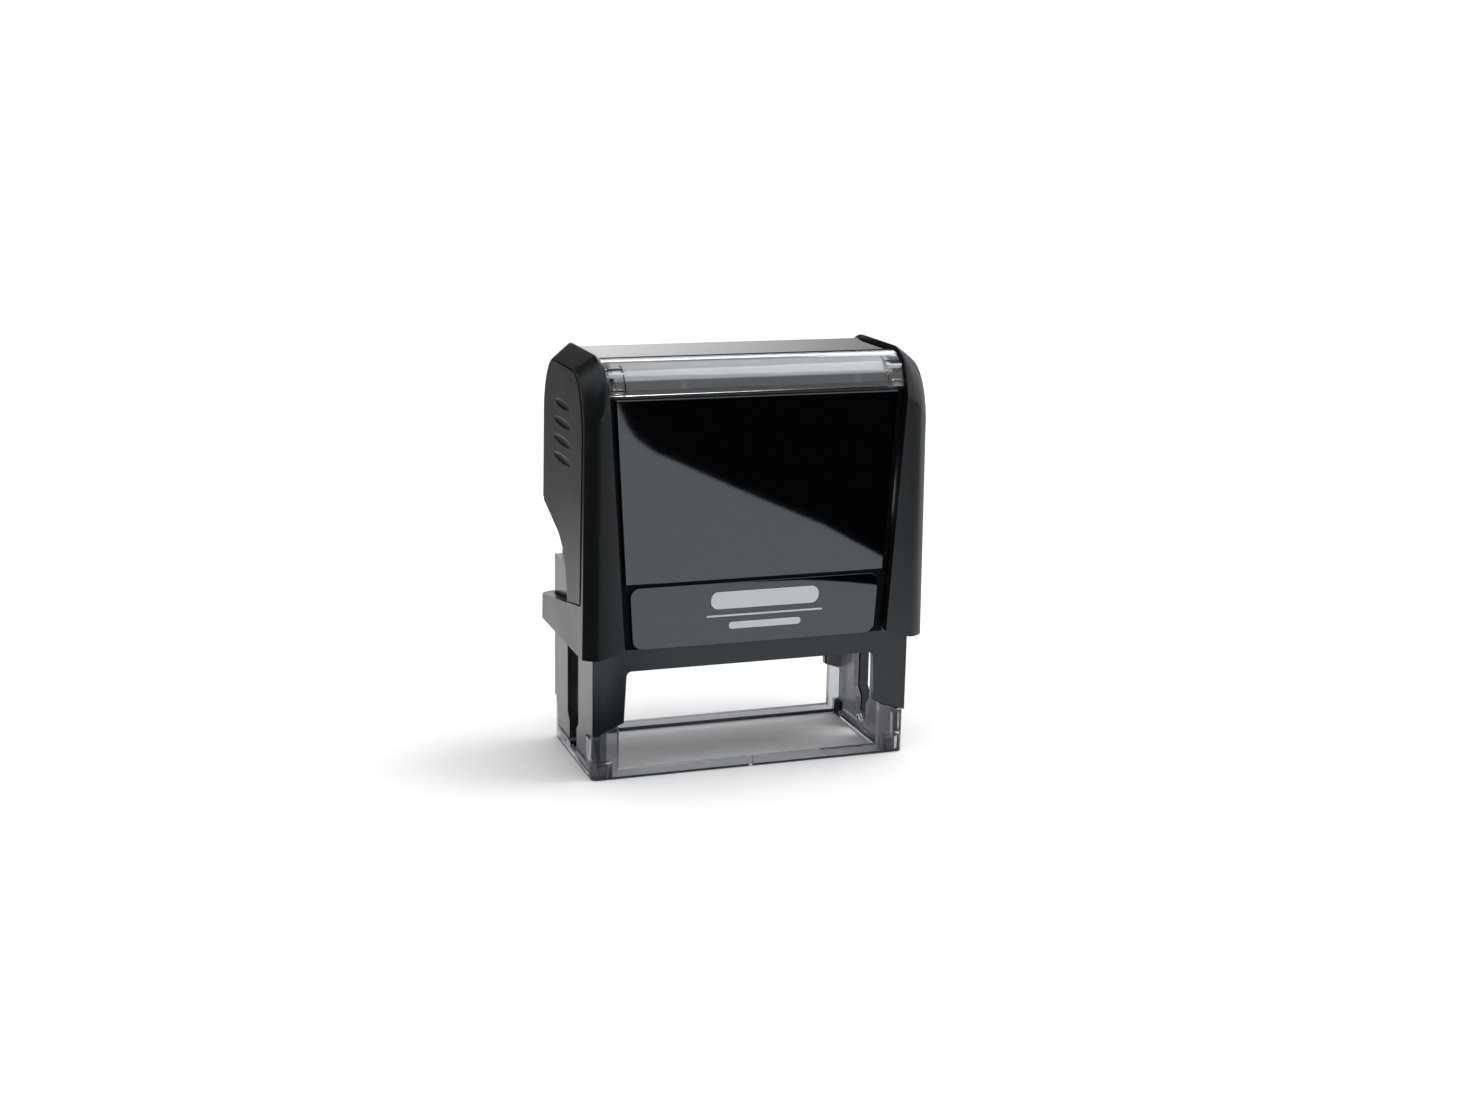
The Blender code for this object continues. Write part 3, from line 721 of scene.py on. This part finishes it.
@dataclass(frozen=True)
class Metal:
    """Plated steel with a faint, uneven sheen."""

    name: str
    colour: Colour
    roughness: float

    def build(self) -> bpy.types.Material:
        """Makes the material.

        Returns:
            The finished material.
        """
        made, shader = new_material(self.name)
        tree = made.node_tree
        shader.inputs["Metallic"].default_value = 1.0
        link = tree.links.new
        grain = group_node(tree, Groups.grain(), {"Scale": 700.0, "Slow Scale": 90.0})
        tint = colour_mix(tree, self.colour, shaded(self.colour, 0.92))
        link(grain.outputs["Sheen"], tint.inputs[0])
        link(tint.outputs[2], shader.inputs["Base Color"])
        vary_roughness(shader, grain.outputs["Height"], self.roughness * 0.9, self.roughness * 1.1)
        return made


@dataclass(frozen=True)
class Palette:
    """Every finish of the stamp."""

    matte_black: Plastic = Plastic("matte_black", (0.0045, 0.0047, 0.005), 0.34, grain=7000.0,
                                   height=0.004 * MM, dust=0.02)
    grip_black: Plastic = Plastic("grip_black", (0.006, 0.0063, 0.007), 0.42, grain=6000.0,
                                  height=0.007 * MM, dust=0.03)
    satin_black: Plastic = Plastic("satin_black", (0.005, 0.0053, 0.006), 0.24, spread=0.05,
                                   height=0.0015 * MM, dust=0.015)
    gloss_black: Plastic = Plastic("gloss_black", (0.001, 0.001, 0.0012), 0.03, spread=0.008,
                                   height=0.0001 * MM, dust=0.0, ior=1.8)
    # Dull and dark so that the gaps round the front panels show painted shade.
    recess_shade_black: Plastic = Plastic("recess_shade_black", (0.0012, 0.0012, 0.0014), 0.5, dust=0.0, ior=1.2)
    smoky_clear: ClearPlastic = ClearPlastic("smoky_clear", (0.53, 0.54, 0.57), 0.012)
    # Painted shade: the dark line along the clear foot's lower edge.
    foot_shade_line: Plastic = Plastic("foot_shade_line", (0.01, 0.01, 0.012), 0.2, dust=0.0)
    cheek_clear: ClearPlastic = ClearPlastic("cheek_clear", (0.42, 0.43, 0.45), 0.22, transmission=0.5)
    window_clear: ClearPlastic = ClearPlastic("window_clear", (0.95, 0.955, 0.96), 0.03, ripple=0.0004 * MM)
    # The index card's dark strip along its foot is painted shade; its two lighter marks stand for lit ribs
    # behind the window.
    card: BandedCard = BandedCard("card_stock", (0.50, 0.51, 0.53), (0.018, 0.019, 0.02), 68.2 * MM,
                                  (-13.0 * MM, 18.0 * MM))
    # Painted dark line on the top cover's front edge, in place of that edge's dark reflection.
    edge_shade_black: Plastic = Plastic("edge_shade_black", (0.004, 0.004, 0.005), 0.6, ior=1.05)
    seat_smoke: ClearPlastic = ClearPlastic("seat_smoke", (0.2, 0.2, 0.22), 0.06, transmission=0.8)
    # Painted highlight for the window's clear end tabs, and painted shade for their slots.
    catch_tab_highlight: Plastic = Plastic("catch_tab_highlight", (0.62, 0.63, 0.65), 0.12, dust=0.0)
    catch_slot_shade: Plastic = Plastic("catch_slot_shade", (0.03, 0.031, 0.033), 0.3)
    carrier_grey: Plastic = Plastic("carrier_grey", (0.34, 0.35, 0.36), 0.45)
    foam: Plastic = Plastic("cushion_foam", (0.10, 0.10, 0.11), 0.9, grain=1800.0, height=0.05 * MM)
    text_rubber: Plastic = Plastic("text_rubber", (0.36, 0.07, 0.06), 0.7, grain=3000.0, height=0.01 * MM)
    foot_rubber: Plastic = Plastic("foot_rubber", (0.012, 0.012, 0.013), 0.6, height=0.008 * MM)
    felt: Plastic = Plastic("inked_felt", (0.012, 0.012, 0.03), 0.95, grain=1500.0,
                            height=0.12 * MM, dust=0.0)
    print_silver: Plastic = Plastic("pad_print", (0.60, 0.61, 0.63), 0.3, height=0.002 * MM, dust=0.0)
    steel: Metal = Metal("plated_steel", (0.62, 0.62, 0.63), 0.28)


# --------------------------------------------------------------- sub-assemblies


@dataclass
class Base:
    """The black frame, its clear foot and the four plugs in the foot's corners."""

    palette: Palette
    frame_edge: float = 0.22 * MM
    leg_gap_x: float = 22.5 * MM
    leg_gap_top: float = 18.85 * MM
    leg_gap_rounding: float = 0.9 * MM
    foot_edge: float = 0.25 * MM
    foot_corner: float = 1.0 * MM
    foot_rounding: float = 0.6 * MM
    # Height and inset of the dark line of painted shade along the foot's lower edge.
    shade_line_top: float = 0.42 * MM
    shade_line_depth: Vector = field(default_factory=lambda: Vector((0.9, 0.3, 0.0)) * MM)
    cheek_foot: float = 1.2 * MM
    cheek_x: tuple[float, float] = (22.0 * MM, 26.85 * MM)
    seat_margin: float = 0.55 * MM
    seat_top_margin: float = 0.5 * MM
    pad_ribs: int = 18
    rib_share: float = 0.93

    def build_frame(self) -> None:
        """The black frame with its legs and crossbars."""
        gap_corner = Rounding(depth_edge_at(self.leg_gap_x, self.leg_gap_top), self.leg_gap_rounding)
        piece = refined("base_frame", self.frame_edge, 3, roundings=(gap_corner,))
        stand_in(piece, self.palette.satin_black.build(), "satin_black", "base_frame")

    def build_foot(self) -> None:
        """The clear foot: a dark line of painted shade along its lower edge, dark plug seats and cloudier
        cheeks.
        """
        low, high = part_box("clear_foot")
        corner = Rounding(upright_at(high.x, high.y), self.foot_corner)
        outline = Rounding(outline_at(low, high, 1.02 * self.foot_corner), self.foot_rounding, 4)
        piece = refined("clear_foot", self.foot_edge, 3, roundings=(corner, outline))
        cut_across(piece, Vector((0.0, 0.0, self.shade_line_top)), Vector((0.0, 0.0, 1.0)))
        ring = self.palette.smoky_clear.build()
        for finish in (ring, self.palette.cheek_clear.build(), self.palette.foot_shade_line.build(),
                       self.palette.seat_smoke.build()):
            piece.data.materials.append(finish)
        pad_low, pad_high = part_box("foot_pad_rear_right")
        seat = (pad_low + pad_high) / 2
        reach = (pad_high.x - pad_low.x) / 2 + self.seat_margin
        seat_top = pad_high.z + self.seat_top_margin
        rim = high - self.shade_line_depth
        for face in piece.data.polygons:
            centre = face.center
            outer = abs(centre.x) > rim.x or abs(centre.y) > rim.y
            in_seat = math.hypot(abs(centre.x) - seat.x, abs(centre.y) - seat.y) < reach
            inside = all(abs(piece.data.vertices[i].co.x) < self.cheek_x[1] for i in face.vertices)
            if in_seat and self.shade_line_top < centre.z < seat_top:
                face.material_index = 3
            # Outer faces below the line take the dark finish: painted shade along the lower edge.
            elif outer and centre.z < self.shade_line_top and face.normal.z > -0.95:
                face.material_index = 2
            elif inside and centre.z > self.cheek_foot and abs(centre.x) > self.cheek_x[0]:
                face.material_index = 1
        stand_in(piece, ring, "smoky_clear", "clear_foot")

    def build_pads(self) -> None:
        """Ribbed rubber plugs in the corners of the foot."""
        rubber = self.palette.foot_rubber.build()
        for face in ("front", "rear"):
            for side in ("left", "right"):
                node = f"foot_pad_{face}_{side}"
                low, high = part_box(node)
                middle = (low + high) / 2
                radius = (high.x - low.x) / 2
                piece = add_rod(f"{node}_shape", radius, Vector((middle.x, middle.y, low.z)),
                                Vector((middle.x, middle.y, high.z)), self.pad_ribs * 4)
                with edit_mode(piece, "VERT") as mesh:
                    for point in mesh.verts:
                        turn = math.atan2(point.co.y - middle.y, point.co.x - middle.x)
                        point.select_set(math.sin(turn * self.pad_ribs) > 0)
                    mesh.select_flush_mode()
                    bmesh.update_edit_mesh(piece.data)
                    bpy.ops.transform.resize(value=(self.rib_share, self.rib_share, 1.0),
                                             center_override=middle)
                soften(piece, 0.12 * MM, 2, 50.0)
                stand_in(piece, rubber, "foot_rubber", node)

    def build(self) -> None:
        """Builds the frame, the foot and the pads."""
        self.build_frame()
        self.build_foot()
        self.build_pads()


@dataclass
class Inside:
    """The ink cartridge, the return spring and the turning carrier."""

    palette: Palette
    turns: int = 9
    wire: float = 0.325 * MM
    wire_sides: int = 12
    steps_per_turn: int = 40
    axle_share: float = 0.995
    axle_edge: float = 0.25 * MM

    def build_cartridge(self) -> None:
        """The tray and its felt pad."""
        tray = refined("ink_tray", 0.3 * MM, 3)
        stand_in(tray, self.palette.satin_black.build(), "satin_black", "ink_tray")
        pad = refined("ink_pad", 0.5 * MM, 3)
        stand_in(pad, self.palette.felt.build(), "inked_felt", "ink_pad")

    def build_spring(self) -> None:
        """The coil spring: a wire section screwed round the upright axis."""
        low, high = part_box("return_spring")
        radius = (high.x - low.x) / 2 - self.wire
        pitch = (high.z - low.z - 2 * self.wire) / self.turns
        deselect_all()
        bpy.ops.mesh.primitive_circle_add(vertices=self.wire_sides, radius=self.wire,
                                          location=(radius, 0.0, low.z + self.wire),
                                          rotation=(math.pi / 2, 0.0, 0.0))
        piece = bpy.context.object
        piece.name = "return_spring_shape"
        settle(piece)
        step = piece.modifiers.new("coil", "SCREW")
        step.axis = "Z"
        step.angle = 2 * math.pi * self.turns
        step.screw_offset = pitch * self.turns
        step.steps = step.render_steps = self.steps_per_turn * self.turns
        step.merge_threshold = 0.00001
        bpy.ops.object.modifier_apply(modifier=step.name)
        with edit_mode(piece, "EDGE"):
            bpy.ops.mesh.select_all(action="SELECT")
            bpy.ops.mesh.region_to_loop()
            bpy.ops.mesh.edge_face_add()
            bpy.ops.mesh.select_all(action="SELECT")
            bpy.ops.mesh.normals_make_consistent(inside=False)
        make_active(piece)
        bpy.ops.object.shade_smooth_by_angle(angle=math.radians(SHARP))
        stand_in(piece, self.palette.steel.build(), "plated_steel", "return_spring")
        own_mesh(piece)

    def build_carrier(self) -> None:
        """The carrier, its axle, the cushion and the text plate with its plain raised bars."""
        for node, finish, slot, width in (
                ("plate_carrier", self.palette.carrier_grey, "carrier_grey", 0.2 * MM),
                ("plate_cushion", self.palette.foam, "cushion_foam", 0.15 * MM),
                ("text_plate", self.palette.text_rubber, "text_rubber", 0.12 * MM)):
            piece = refined(node, width, 2)
            stand_in(piece, finish.build(), slot, node)
        low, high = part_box("carrier_axle")
        middle = (low + high) / 2
        radius = (high.z - low.z) / 2 * self.axle_share
        axle = add_rod("carrier_axle_shape", radius, Vector((low.x, middle.y, middle.z)),
                       Vector((high.x, middle.y, middle.z)))
        soften(axle, self.axle_edge, 3)
        stand_in(axle, self.palette.steel.build(), "plated_steel", "carrier_axle")

    def build(self) -> None:
        """Builds the cartridge, the spring and the carrier."""
        self.build_cartridge()
        self.build_spring()
        self.build_carrier()


@dataclass
class Cap:
    """The pressed cap: end caps, grips, glossy panels, window and card."""

    palette: Palette
    button_room: Vector = field(default_factory=lambda: Vector((0.3, 0.0, 0.3)) * MM)
    print_x: float = 1.6 * MM
    print_depth: float = 0.06 * MM
    rule_width: float = 21.0 * MM
    crease: float = 34.2 * MM
    panel_foot_x: float = 23.6 * MM
    panel_margin: float = 0.9 * MM
    strip_margin: float = 1.7 * MM
    crease_gap: float = 0.55 * MM
    crown_start: float = 28.5 * MM
    crown_depth: float = 0.13 * MM
    crown_rows: int = 7
    panel_face: float = 0.05 * MM
    panel_depth: float = 0.6 * MM
    strip_corner: float = 1.8 * MM
    # How far the painted dark line reaches onto the top cover.
    edge_shade_reach: float = 0.8 * MM
    slit_x: tuple[float, float] = (23.15 * MM, 23.35 * MM)
    catch_x: tuple[float, float] = (23.4 * MM, 25.9 * MM)
    catch_lean: float = -40.0
    loop_x: tuple[float, float] = (23.7 * MM, 25.5 * MM)
    loop_z: tuple[float, float] = (66.55 * MM, 67.45 * MM)
    loop_depth: float = 0.5 * MM
    loop_corner: float = 0.35 * MM
    bend_y: float = -7.7 * MM
    bend_z: float = 65.5 * MM
    bend_radius: float = 6.08 * MM

    def build_shell(self) -> None:
        """Both end caps and the roof between them."""
        piece = refined("cap_shell", 0.16 * MM, 2, 34.0)
        stand_in(piece, self.palette.matte_black.build(), "matte_black", "cap_shell")

    def build_grips(self) -> None:
        """The side plates with their grip grooves."""
        material = self.palette.grip_black.build()
        for node in ("left_side_grip", "right_side_grip"):
            piece = refined(node, 0.14 * MM, 2, 30.0)
            stand_in(piece, material, "matte_black", node)

    def build_panels(self) -> None:
        """The glossy covers on the rear and the top."""
        material = self.palette.gloss_black.build()
        for node, width in (("rear_panel", 0.2 * MM), ("top_cover", 0.15 * MM)):
            piece = refined(node, width, 3)
            stand_in(piece, material, "gloss_black", node)
        low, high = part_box("rear_strip")
        button_low, button_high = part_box("lock_button")
        strip = add_block("rear_strip_shape", low, high)
        hole = add_block("hole", Vector((button_low.x, low.y - MM, button_low.z)) - self.button_room,
                         Vector((button_high.x, high.y + MM, button_high.z)) + self.button_room)
        cut_out(strip, hole)
        soften(strip, 0.15 * MM, 3)
        stand_in(strip, material, "gloss_black", "rear_strip")

    def tapered_plate(self, name: str, margin: float, low: Vector, high: Vector) -> bpy.types.Object:
        """A plate between the two end caps, narrower at its foot as their edges are.

        Args:
            name: The plate's name.
            margin: How far it stays from the panel's own edge at each side.
            low: Its lowest corner.
            high: Its highest corner.

        Returns:
            The new plate.
        """
        panel_low, panel_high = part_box("front_panel")
        plate = add_block(name, Vector((-panel_high.x - MM, low.y, low.z)),
                          Vector((panel_high.x + MM, high.y, high.z)))
        lean = (panel_high.x - self.panel_foot_x) / (panel_high.z - panel_low.z)
        for side in Side:
            cut_across(plate, Vector((side.value * (self.panel_foot_x - margin), 0.0, panel_low.z)),
                       Vector((side.value, 0.0, -lean)), clear=True)
        return plate

    def build_front(self) -> None:
        """The glossy front: a flat panel above a crease and a crowned label strip below it."""
        material = self.palette.gloss_black.build()
        low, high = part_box("front_panel")
        face, behind = low.y + self.panel_face, low.y + self.panel_depth
        # The backing's dull dark finish paints shade into the gaps round the panels.
        back = self.tapered_plate("front_backing", 0.0, Vector((0.0, behind - self.panel_face, low.z)), high)
        soften(back, 0.1 * MM)
        stand_in(back, self.palette.recess_shade_black.build(), "gloss_black", "front_panel")
        dish = self.tapered_plate("front_dish", self.panel_margin, Vector((0.0, face, self.crease)),
                                  Vector((0.0, behind, high.z)))
        soften(dish, 0.42 * MM, 6)
        top = self.crease - self.crease_gap
        strip = self.tapered_plate("label_strip", self.strip_margin, Vector((0.0, face, low.z)),
                                   Vector((0.0, behind, top)))
        bevel_edges(strip, lambda a, b: abs(a.y - b.y) > 2 * CLOSE and abs(a.z - b.z) < CLOSE / 2,
                    self.strip_corner, 8)
        rise = top - self.crown_start
        for row in range(self.crown_rows):
            height = self.crown_start + rise * row / self.crown_rows
            cut_across(strip, Vector((0.0, 0.0, height)), Vector((0.0, 0.0, 1.0)))

        def depth_at(point: Vector) -> float:
            """How far back a point of the strip's face goes."""
            return self.crown_depth * max(0.0, (point.z - self.crown_start) / rise) ** 2

        crown(strip, lambda v: v.y < face + 0.02 * MM, depth_at)
        soften(strip, 0.12 * MM, 3)
        for piece in (dish, strip):
            piece.data.materials.append(material)
            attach(piece, "cap")
            LOG.info("%s covers the front", piece.name)

    def build_edge_shade(self) -> None:
        """A dull dark strip on the top cover's front edge, above the window: a painted dark line in place of
        that edge's dark reflection.
        """
        low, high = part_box("top_cover")
        edge_shade_bar = add_block("cover_edge_shade", Vector((low.x + 0.3 * MM, low.y - 0.1 * MM, low.z)),
                         Vector((high.x - 0.3 * MM, low.y + self.edge_shade_reach, high.z + 0.03 * MM)))
        soften(edge_shade_bar, 0.05 * MM)
        edge_shade_bar.data.materials.append(self.palette.edge_shade_black.build())
        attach(edge_shade_bar, "cap")
        LOG.info("%s edges the top cover", edge_shade_bar.name)

    def build_window(self) -> None:
        """The curved window with its end catches, and the card behind it."""
        piece = refined("index_window", 0.12 * MM, 2)
        low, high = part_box("index_window")
        for side in Side:
            slit = sorted(side.value * x for x in self.slit_x)
            slot = add_block("slit", Vector((slit[0], low.y - MM, low.z + 0.7 * MM)),
                             Vector((slit[1], high.y + MM, high.z - 1.2 * MM)))
            cut_out(piece, slot)
            self.build_catch(side, low.y)
        stand_in(piece, self.palette.window_clear.build(), "window_clear", "index_window")
        card = refined("index_card", 0.05 * MM, 1)
        stand_in(card, self.palette.card.build(), "index_card", "index_card")

    def build_catch(self, side: Side, front: float) -> None:
        """A dark plate of painted shade for the slot and a light plate of painted highlight for the clear tab
        at one end of the window, and the small clear loop at its foot.

        Args:
            side: Which end.
            front: The window's foremost place.
        """
        label = side.name.lower()
        span = sorted(side.value * x for x in self.catch_x)
        parts = []
        # The slot plate is painted shade; the opaque light tab is a painted highlight on clear plastic.
        for name, foot, tall, finish in (("slot", 70.08 * MM, 0.34 * MM, self.palette.catch_slot_shade),
                                         ("tab", 68.95 * MM, 0.95 * MM, self.palette.catch_tab_highlight)):
            rise = foot + tall / 2 - self.bend_z
            surface = self.bend_y - math.sqrt(self.bend_radius ** 2 - rise ** 2)
            middle = Vector((sum(span) / 2, surface + 0.12 * MM, foot + tall / 2))
            reach = Vector(((span[1] - span[0]) / 2, 0.16 * MM, tall / 2))
            plate = add_block(f"catch_{name}_{label}", middle - reach, middle + reach)
            with edit_mode(plate):
                bpy.ops.mesh.select_all(action="SELECT")
                bpy.ops.transform.rotate(value=math.radians(self.catch_lean), orient_axis="X",
                                         center_override=middle)
            soften(plate, 0.08 * MM, 2)
            plate.data.materials.append(finish.build())
            parts.append(plate)
        parts.append(self.build_loop(side, front))
        for piece in parts:
            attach(piece, "cap")
            LOG.info("%s sits at the window's end", piece.name)

    def build_loop(self, side: Side, front: float) -> bpy.types.Object:
        """The small clear loop at the foot of one end of the window.

        Args:
            side: Which end.
            front: The window's foremost place.

        Returns:
            The loop.
        """
        span = sorted(side.value * x for x in self.loop_x)
        foot, top = self.loop_z
        face = front - 0.12 * MM
        bar_x, bar_z = 0.3 * MM, 0.27 * MM
        loop = add_block(f"catch_loop_{side.name.lower()}", Vector((span[0], face, foot)),
                         Vector((span[1], face + self.loop_depth, top)))
        hole = add_block("hole", Vector((span[0] + bar_x, face - MM, foot + bar_z)),
                         Vector((span[1] - bar_x, face + 2 * MM, top - bar_z)))
        cut_out(loop, hole)
        bevel_edges(loop, lambda a, b: abs(a.y - b.y) > 3 * CLOSE
                    and not foot + CLOSE / 2 < a.z < top - CLOSE / 2, self.loop_corner, 5)
        soften(loop, 0.08 * MM, 2)
        loop.data.materials.append(self.palette.window_clear.build())
        return loop

    def build_button(self) -> None:
        """The lock button in the rear strip."""
        piece = refined("lock_button", 0.35 * MM, 4)
        stand_in(piece, self.palette.matte_black.build(), "matte_black", "lock_button")

    def build_print(self) -> None:
        """A plain printed rule and two bars on the label strip, with no lettering."""
        silver = self.palette.print_silver.build()
        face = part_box("front_panel")[0].y - 0.02 * MM
        for name, width, height, z in (("print_bar_upper", self.rule_width * 0.93, 3.0 * MM, 30.6 * MM),
                                       ("print_rule", self.rule_width, 0.3 * MM, 27.9 * MM),
                                       ("print_bar_lower", self.rule_width * 0.62, 1.2 * MM, 26.1 * MM)):
            piece = add_block(name, Vector((self.print_x - width / 2, face, z - height / 2)),
                              Vector((self.print_x + width / 2, face + self.print_depth, z + height / 2)))
            bevel_edges(piece, lambda a, b: abs(a.y - b.y) > CLOSE / 10, height * 0.45, 6)
            piece.data.materials.append(silver)
            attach(piece, "cap")
            LOG.info("%s lies on the label strip", name)

    def build(self) -> None:
        """Builds every piece of the cap."""
        self.build_shell()
        self.build_grips()
        self.build_panels()
        self.build_front()
        self.build_edge_shade()
        self.build_window()
        self.build_button()
        self.build_print()


# ----------------------------------------------------------------------- studio


@dataclass
class Studio:
    """A plain pale floor, soft lights, the camera and what the gloss reflects."""

    camera_place: Vector = field(default_factory=lambda: Vector((-114.3, -328.9, 120.0)) * MM)
    yaw: float = 19.20
    pitch: float = 13.86
    roll: float = 1.03
    lens: float = 50.0
    horizon: float = 0.06
    zenith: float = 4.2
    overhead: float = 5.0
    surround: float = 1.05
    card_height: float = 0.4
    fade_start: float = 1.35
    sun: float = 1.3
    sun_size: float = 32.0

    def build_camera(self) -> None:
        """The camera at the front left, looking slightly down."""
        yaw, pitch, roll = (math.radians(v) for v in (self.yaw, self.pitch, self.roll))
        forward = Vector((math.sin(yaw) * math.cos(pitch), math.cos(yaw) * math.cos(pitch), -math.sin(pitch)))
        right = Vector((math.cos(yaw), -math.sin(yaw), 0.0))
        up = right.cross(forward)
        across = right * math.cos(roll) + up * math.sin(roll)
        above = up * math.cos(roll) - right * math.sin(roll)
        turn = Matrix((across, above, -forward)).transposed().to_4x4()
        data = bpy.data.cameras.new("camera")
        data.lens = self.lens
        data.sensor_width = 36.0
        data.clip_start, data.clip_end = 0.01, 20.0
        camera = bpy.data.objects.new("camera", data)
        bpy.context.scene.collection.objects.link(camera)
        camera.matrix_world = Matrix.Translation(self.camera_place) @ turn
        bpy.context.scene.camera = camera

    def plain(self, name: str, colour: Colour, roughness: float) -> bpy.types.Material:
        """A studio surface's material.

        Args:
            name: The material's name.
            colour: Its colour.
            roughness: Its roughness.

        Returns:
            The finished material.
        """
        made, shader = new_material(name)
        shader.inputs["Base Color"].default_value = (*colour, 1.0)
        shader.inputs["Roughness"].default_value = roughness
        shader.inputs["Specular IOR Level"].default_value = 0.2
        return made

    def build_floor(self) -> None:
        """A wide pale floor."""
        deselect_all()
        bpy.ops.mesh.primitive_plane_add(size=8.0, location=(0.0, 0.0, -0.05 * MM))
        floor = bpy.context.object
        floor.name = "floor"
        floor.data.materials.append(self.plain("floor_white", (0.88, 0.88, 0.885), 0.8))

    def add_card(self, name: str, outline: Outline, shade: float = 0.0,
                 fade: tuple[float, float] | None = None) -> None:
        """A flat card that only reflections show.

        Args:
            name: The card's name.
            outline: Its corners in millimetres.
            shade: How bright it is, from 0.
            fade: Where it begins and ends to fade to that shade along X, in millimetres.
        """
        mesh = bpy.data.meshes.new(name)
        mesh.from_pydata([Vector(corner) * MM for corner in outline], [], [tuple(range(len(outline)))])
        card = bpy.data.objects.new(name, mesh)
        bpy.context.scene.collection.objects.link(card)
        made, shader = new_material(name)
        shader.inputs["Base Color"].default_value = (0.0, 0.0, 0.0, 1.0)
        shader.inputs["Specular IOR Level"].default_value = 0.0
        shader.inputs["Emission Color"].default_value = (shade, shade, shade, 1.0)
        shader.inputs["Emission Strength"].default_value = 1.0
        if fade:
            tree = made.node_tree
            place = tree.nodes.new("ShaderNodeTexCoord")
            split = tree.nodes.new("ShaderNodeSeparateXYZ")
            drop = tree.nodes.new("ShaderNodeMapRange")
            drop.inputs["From Min"].default_value = fade[0] * MM
            drop.inputs["From Max"].default_value = fade[1] * MM
            drop.inputs["To Min"].default_value = self.fade_start
            drop.inputs["To Max"].default_value = shade
            tree.links.new(place.outputs["Object"], split.inputs["Vector"])
            tree.links.new(split.outputs["X"], drop.inputs["Value"])
            tree.links.new(drop.outputs["Result"], shader.inputs["Emission Color"])
        mesh.materials.append(made)
        card.visible_camera = False
        card.visible_diffuse = False
        card.visible_transmission = False
        card.visible_shadow = False
        card.visible_volume_scatter = False

    def lying(self, *corners: tuple[float, float]) -> Outline:
        """The outline of a card that lies just above the floor, in millimetres."""
        return tuple((x, y, self.card_height) for x, y in corners)

    def standing(self, left: float, right: float, y: float, foot: float, top: float) -> Outline:
        """The outline of an upright card that faces the front, in millimetres."""
        return (left, y, foot), (right, y, foot), (right, y, top), (left, y, top)

    def build_cards(self) -> None:
        """What the glossy faces mirror: dark floor to the right, and dark to the front left."""
        far = 900
        self.add_card("card_right", self.lying(
            (83, -120), (81, -185), (74, -235), (67, -295), (68, -318), (71, -338), (75, -358), (82, -392),
            (95, -700), (far, -far), (far, -60)))
        self.add_card("card_front_left", self.lying(
            (-6, -22), (-8, -90), (40, -262), (60, -420), (60, -far), (-far, -far), (-far, 20), (-80, 20),
            (-60, -22)))
        self.add_card("card_front_wall", self.standing(-far, 40, -460, 1, 700))
        self.add_card("card_left_wall", (
            (-600, -460, 1), (-600, 120, 1), (-600, 120, 600), (-600, -460, 600)))
        self.add_card("card_high_left", self.standing(-far, -10, 600, 40, 1200))
        self.add_card("card_rear_left", self.lying((-60, 150), (-60, far), (-far, far), (-far, 150)), 0.15)
        self.add_card("card_window_light", self.standing(60, 700, 600, 330, 720), 5.0)
        self.add_card("card_rear_wall", self.standing(30, 500, 300, 60, 260), 0.42, fade=(60, 160))

    def build_lights(self) -> None:
        """A soft sun from the upper right and a surround that is brightest overhead."""
        self.build_sun()
        self.build_surround()

    def build_sun(self) -> None:
        """A soft sun from the upper right."""
        data = bpy.data.lights.new("key", "SUN")
        data.energy = self.sun
        data.angle = math.radians(self.sun_size)
        key = bpy.data.objects.new("key", data)
        bpy.context.scene.collection.objects.link(key)
        key.rotation_euler = Vector((-0.55, 0.05, -1.0)).to_track_quat("-Z", "Y").to_euler()
        key.visible_glossy = False

    def build_surround(self) -> None:
        """An even white surround, but brightest overhead for the light that it gives."""
        world = bpy.data.worlds.new("surround")
        world.use_nodes = True
        tree = world.node_tree
        link = tree.links.new
        even = tree.nodes["Background"]
        even.inputs["Color"].default_value = (1.0, 1.0, 1.0, 1.0)
        even.inputs["Strength"].default_value = self.surround
        dome = tree.nodes.new("ShaderNodeBackground")
        place = tree.nodes.new("ShaderNodeTexCoord")
        split = tree.nodes.new("ShaderNodeSeparateXYZ")
        steep = tree.nodes.new("ShaderNodeMath")
        steep.operation = "POWER"
        steep.inputs[1].default_value = self.overhead
        steep.use_clamp = True
        rise = tree.nodes.new("ShaderNodeMapRange")
        rise.inputs["To Min"].default_value = self.horizon
        rise.inputs["To Max"].default_value = self.zenith
        path = tree.nodes.new("ShaderNodeLightPath")
        mix = tree.nodes.new("ShaderNodeMixShader")
        link(place.outputs["Generated"], split.inputs["Vector"])
        link(split.outputs["Z"], steep.inputs[0])
        link(steep.outputs["Value"], rise.inputs["Value"])
        link(rise.outputs["Result"], dome.inputs["Strength"])
        link(path.outputs["Is Diffuse Ray"], mix.inputs[0])
        link(even.outputs["Background"], mix.inputs[1])
        link(dome.outputs["Background"], mix.inputs[2])
        link(mix.outputs["Shader"], tree.nodes["World Output"].inputs["Surface"])
        bpy.context.scene.world = world
        bpy.context.scene.view_settings.view_transform = "Standard"

    def build(self) -> None:
        """Builds the camera, the floor, the cards and the lights."""
        self.build_camera()
        self.build_floor()
        self.build_cards()
        self.build_lights()


def main() -> None:
    """Builds the studio and every sub-assembly."""
    logging.basicConfig(level=logging.INFO, format="%(message)s")
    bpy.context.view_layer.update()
    palette = Palette()
    for part in (Studio(), Base(palette), Inside(palette), Cap(palette)):
        part.build()
        LOG.info("%s is built", type(part).__name__)


if __name__ == "__main__":
    main()
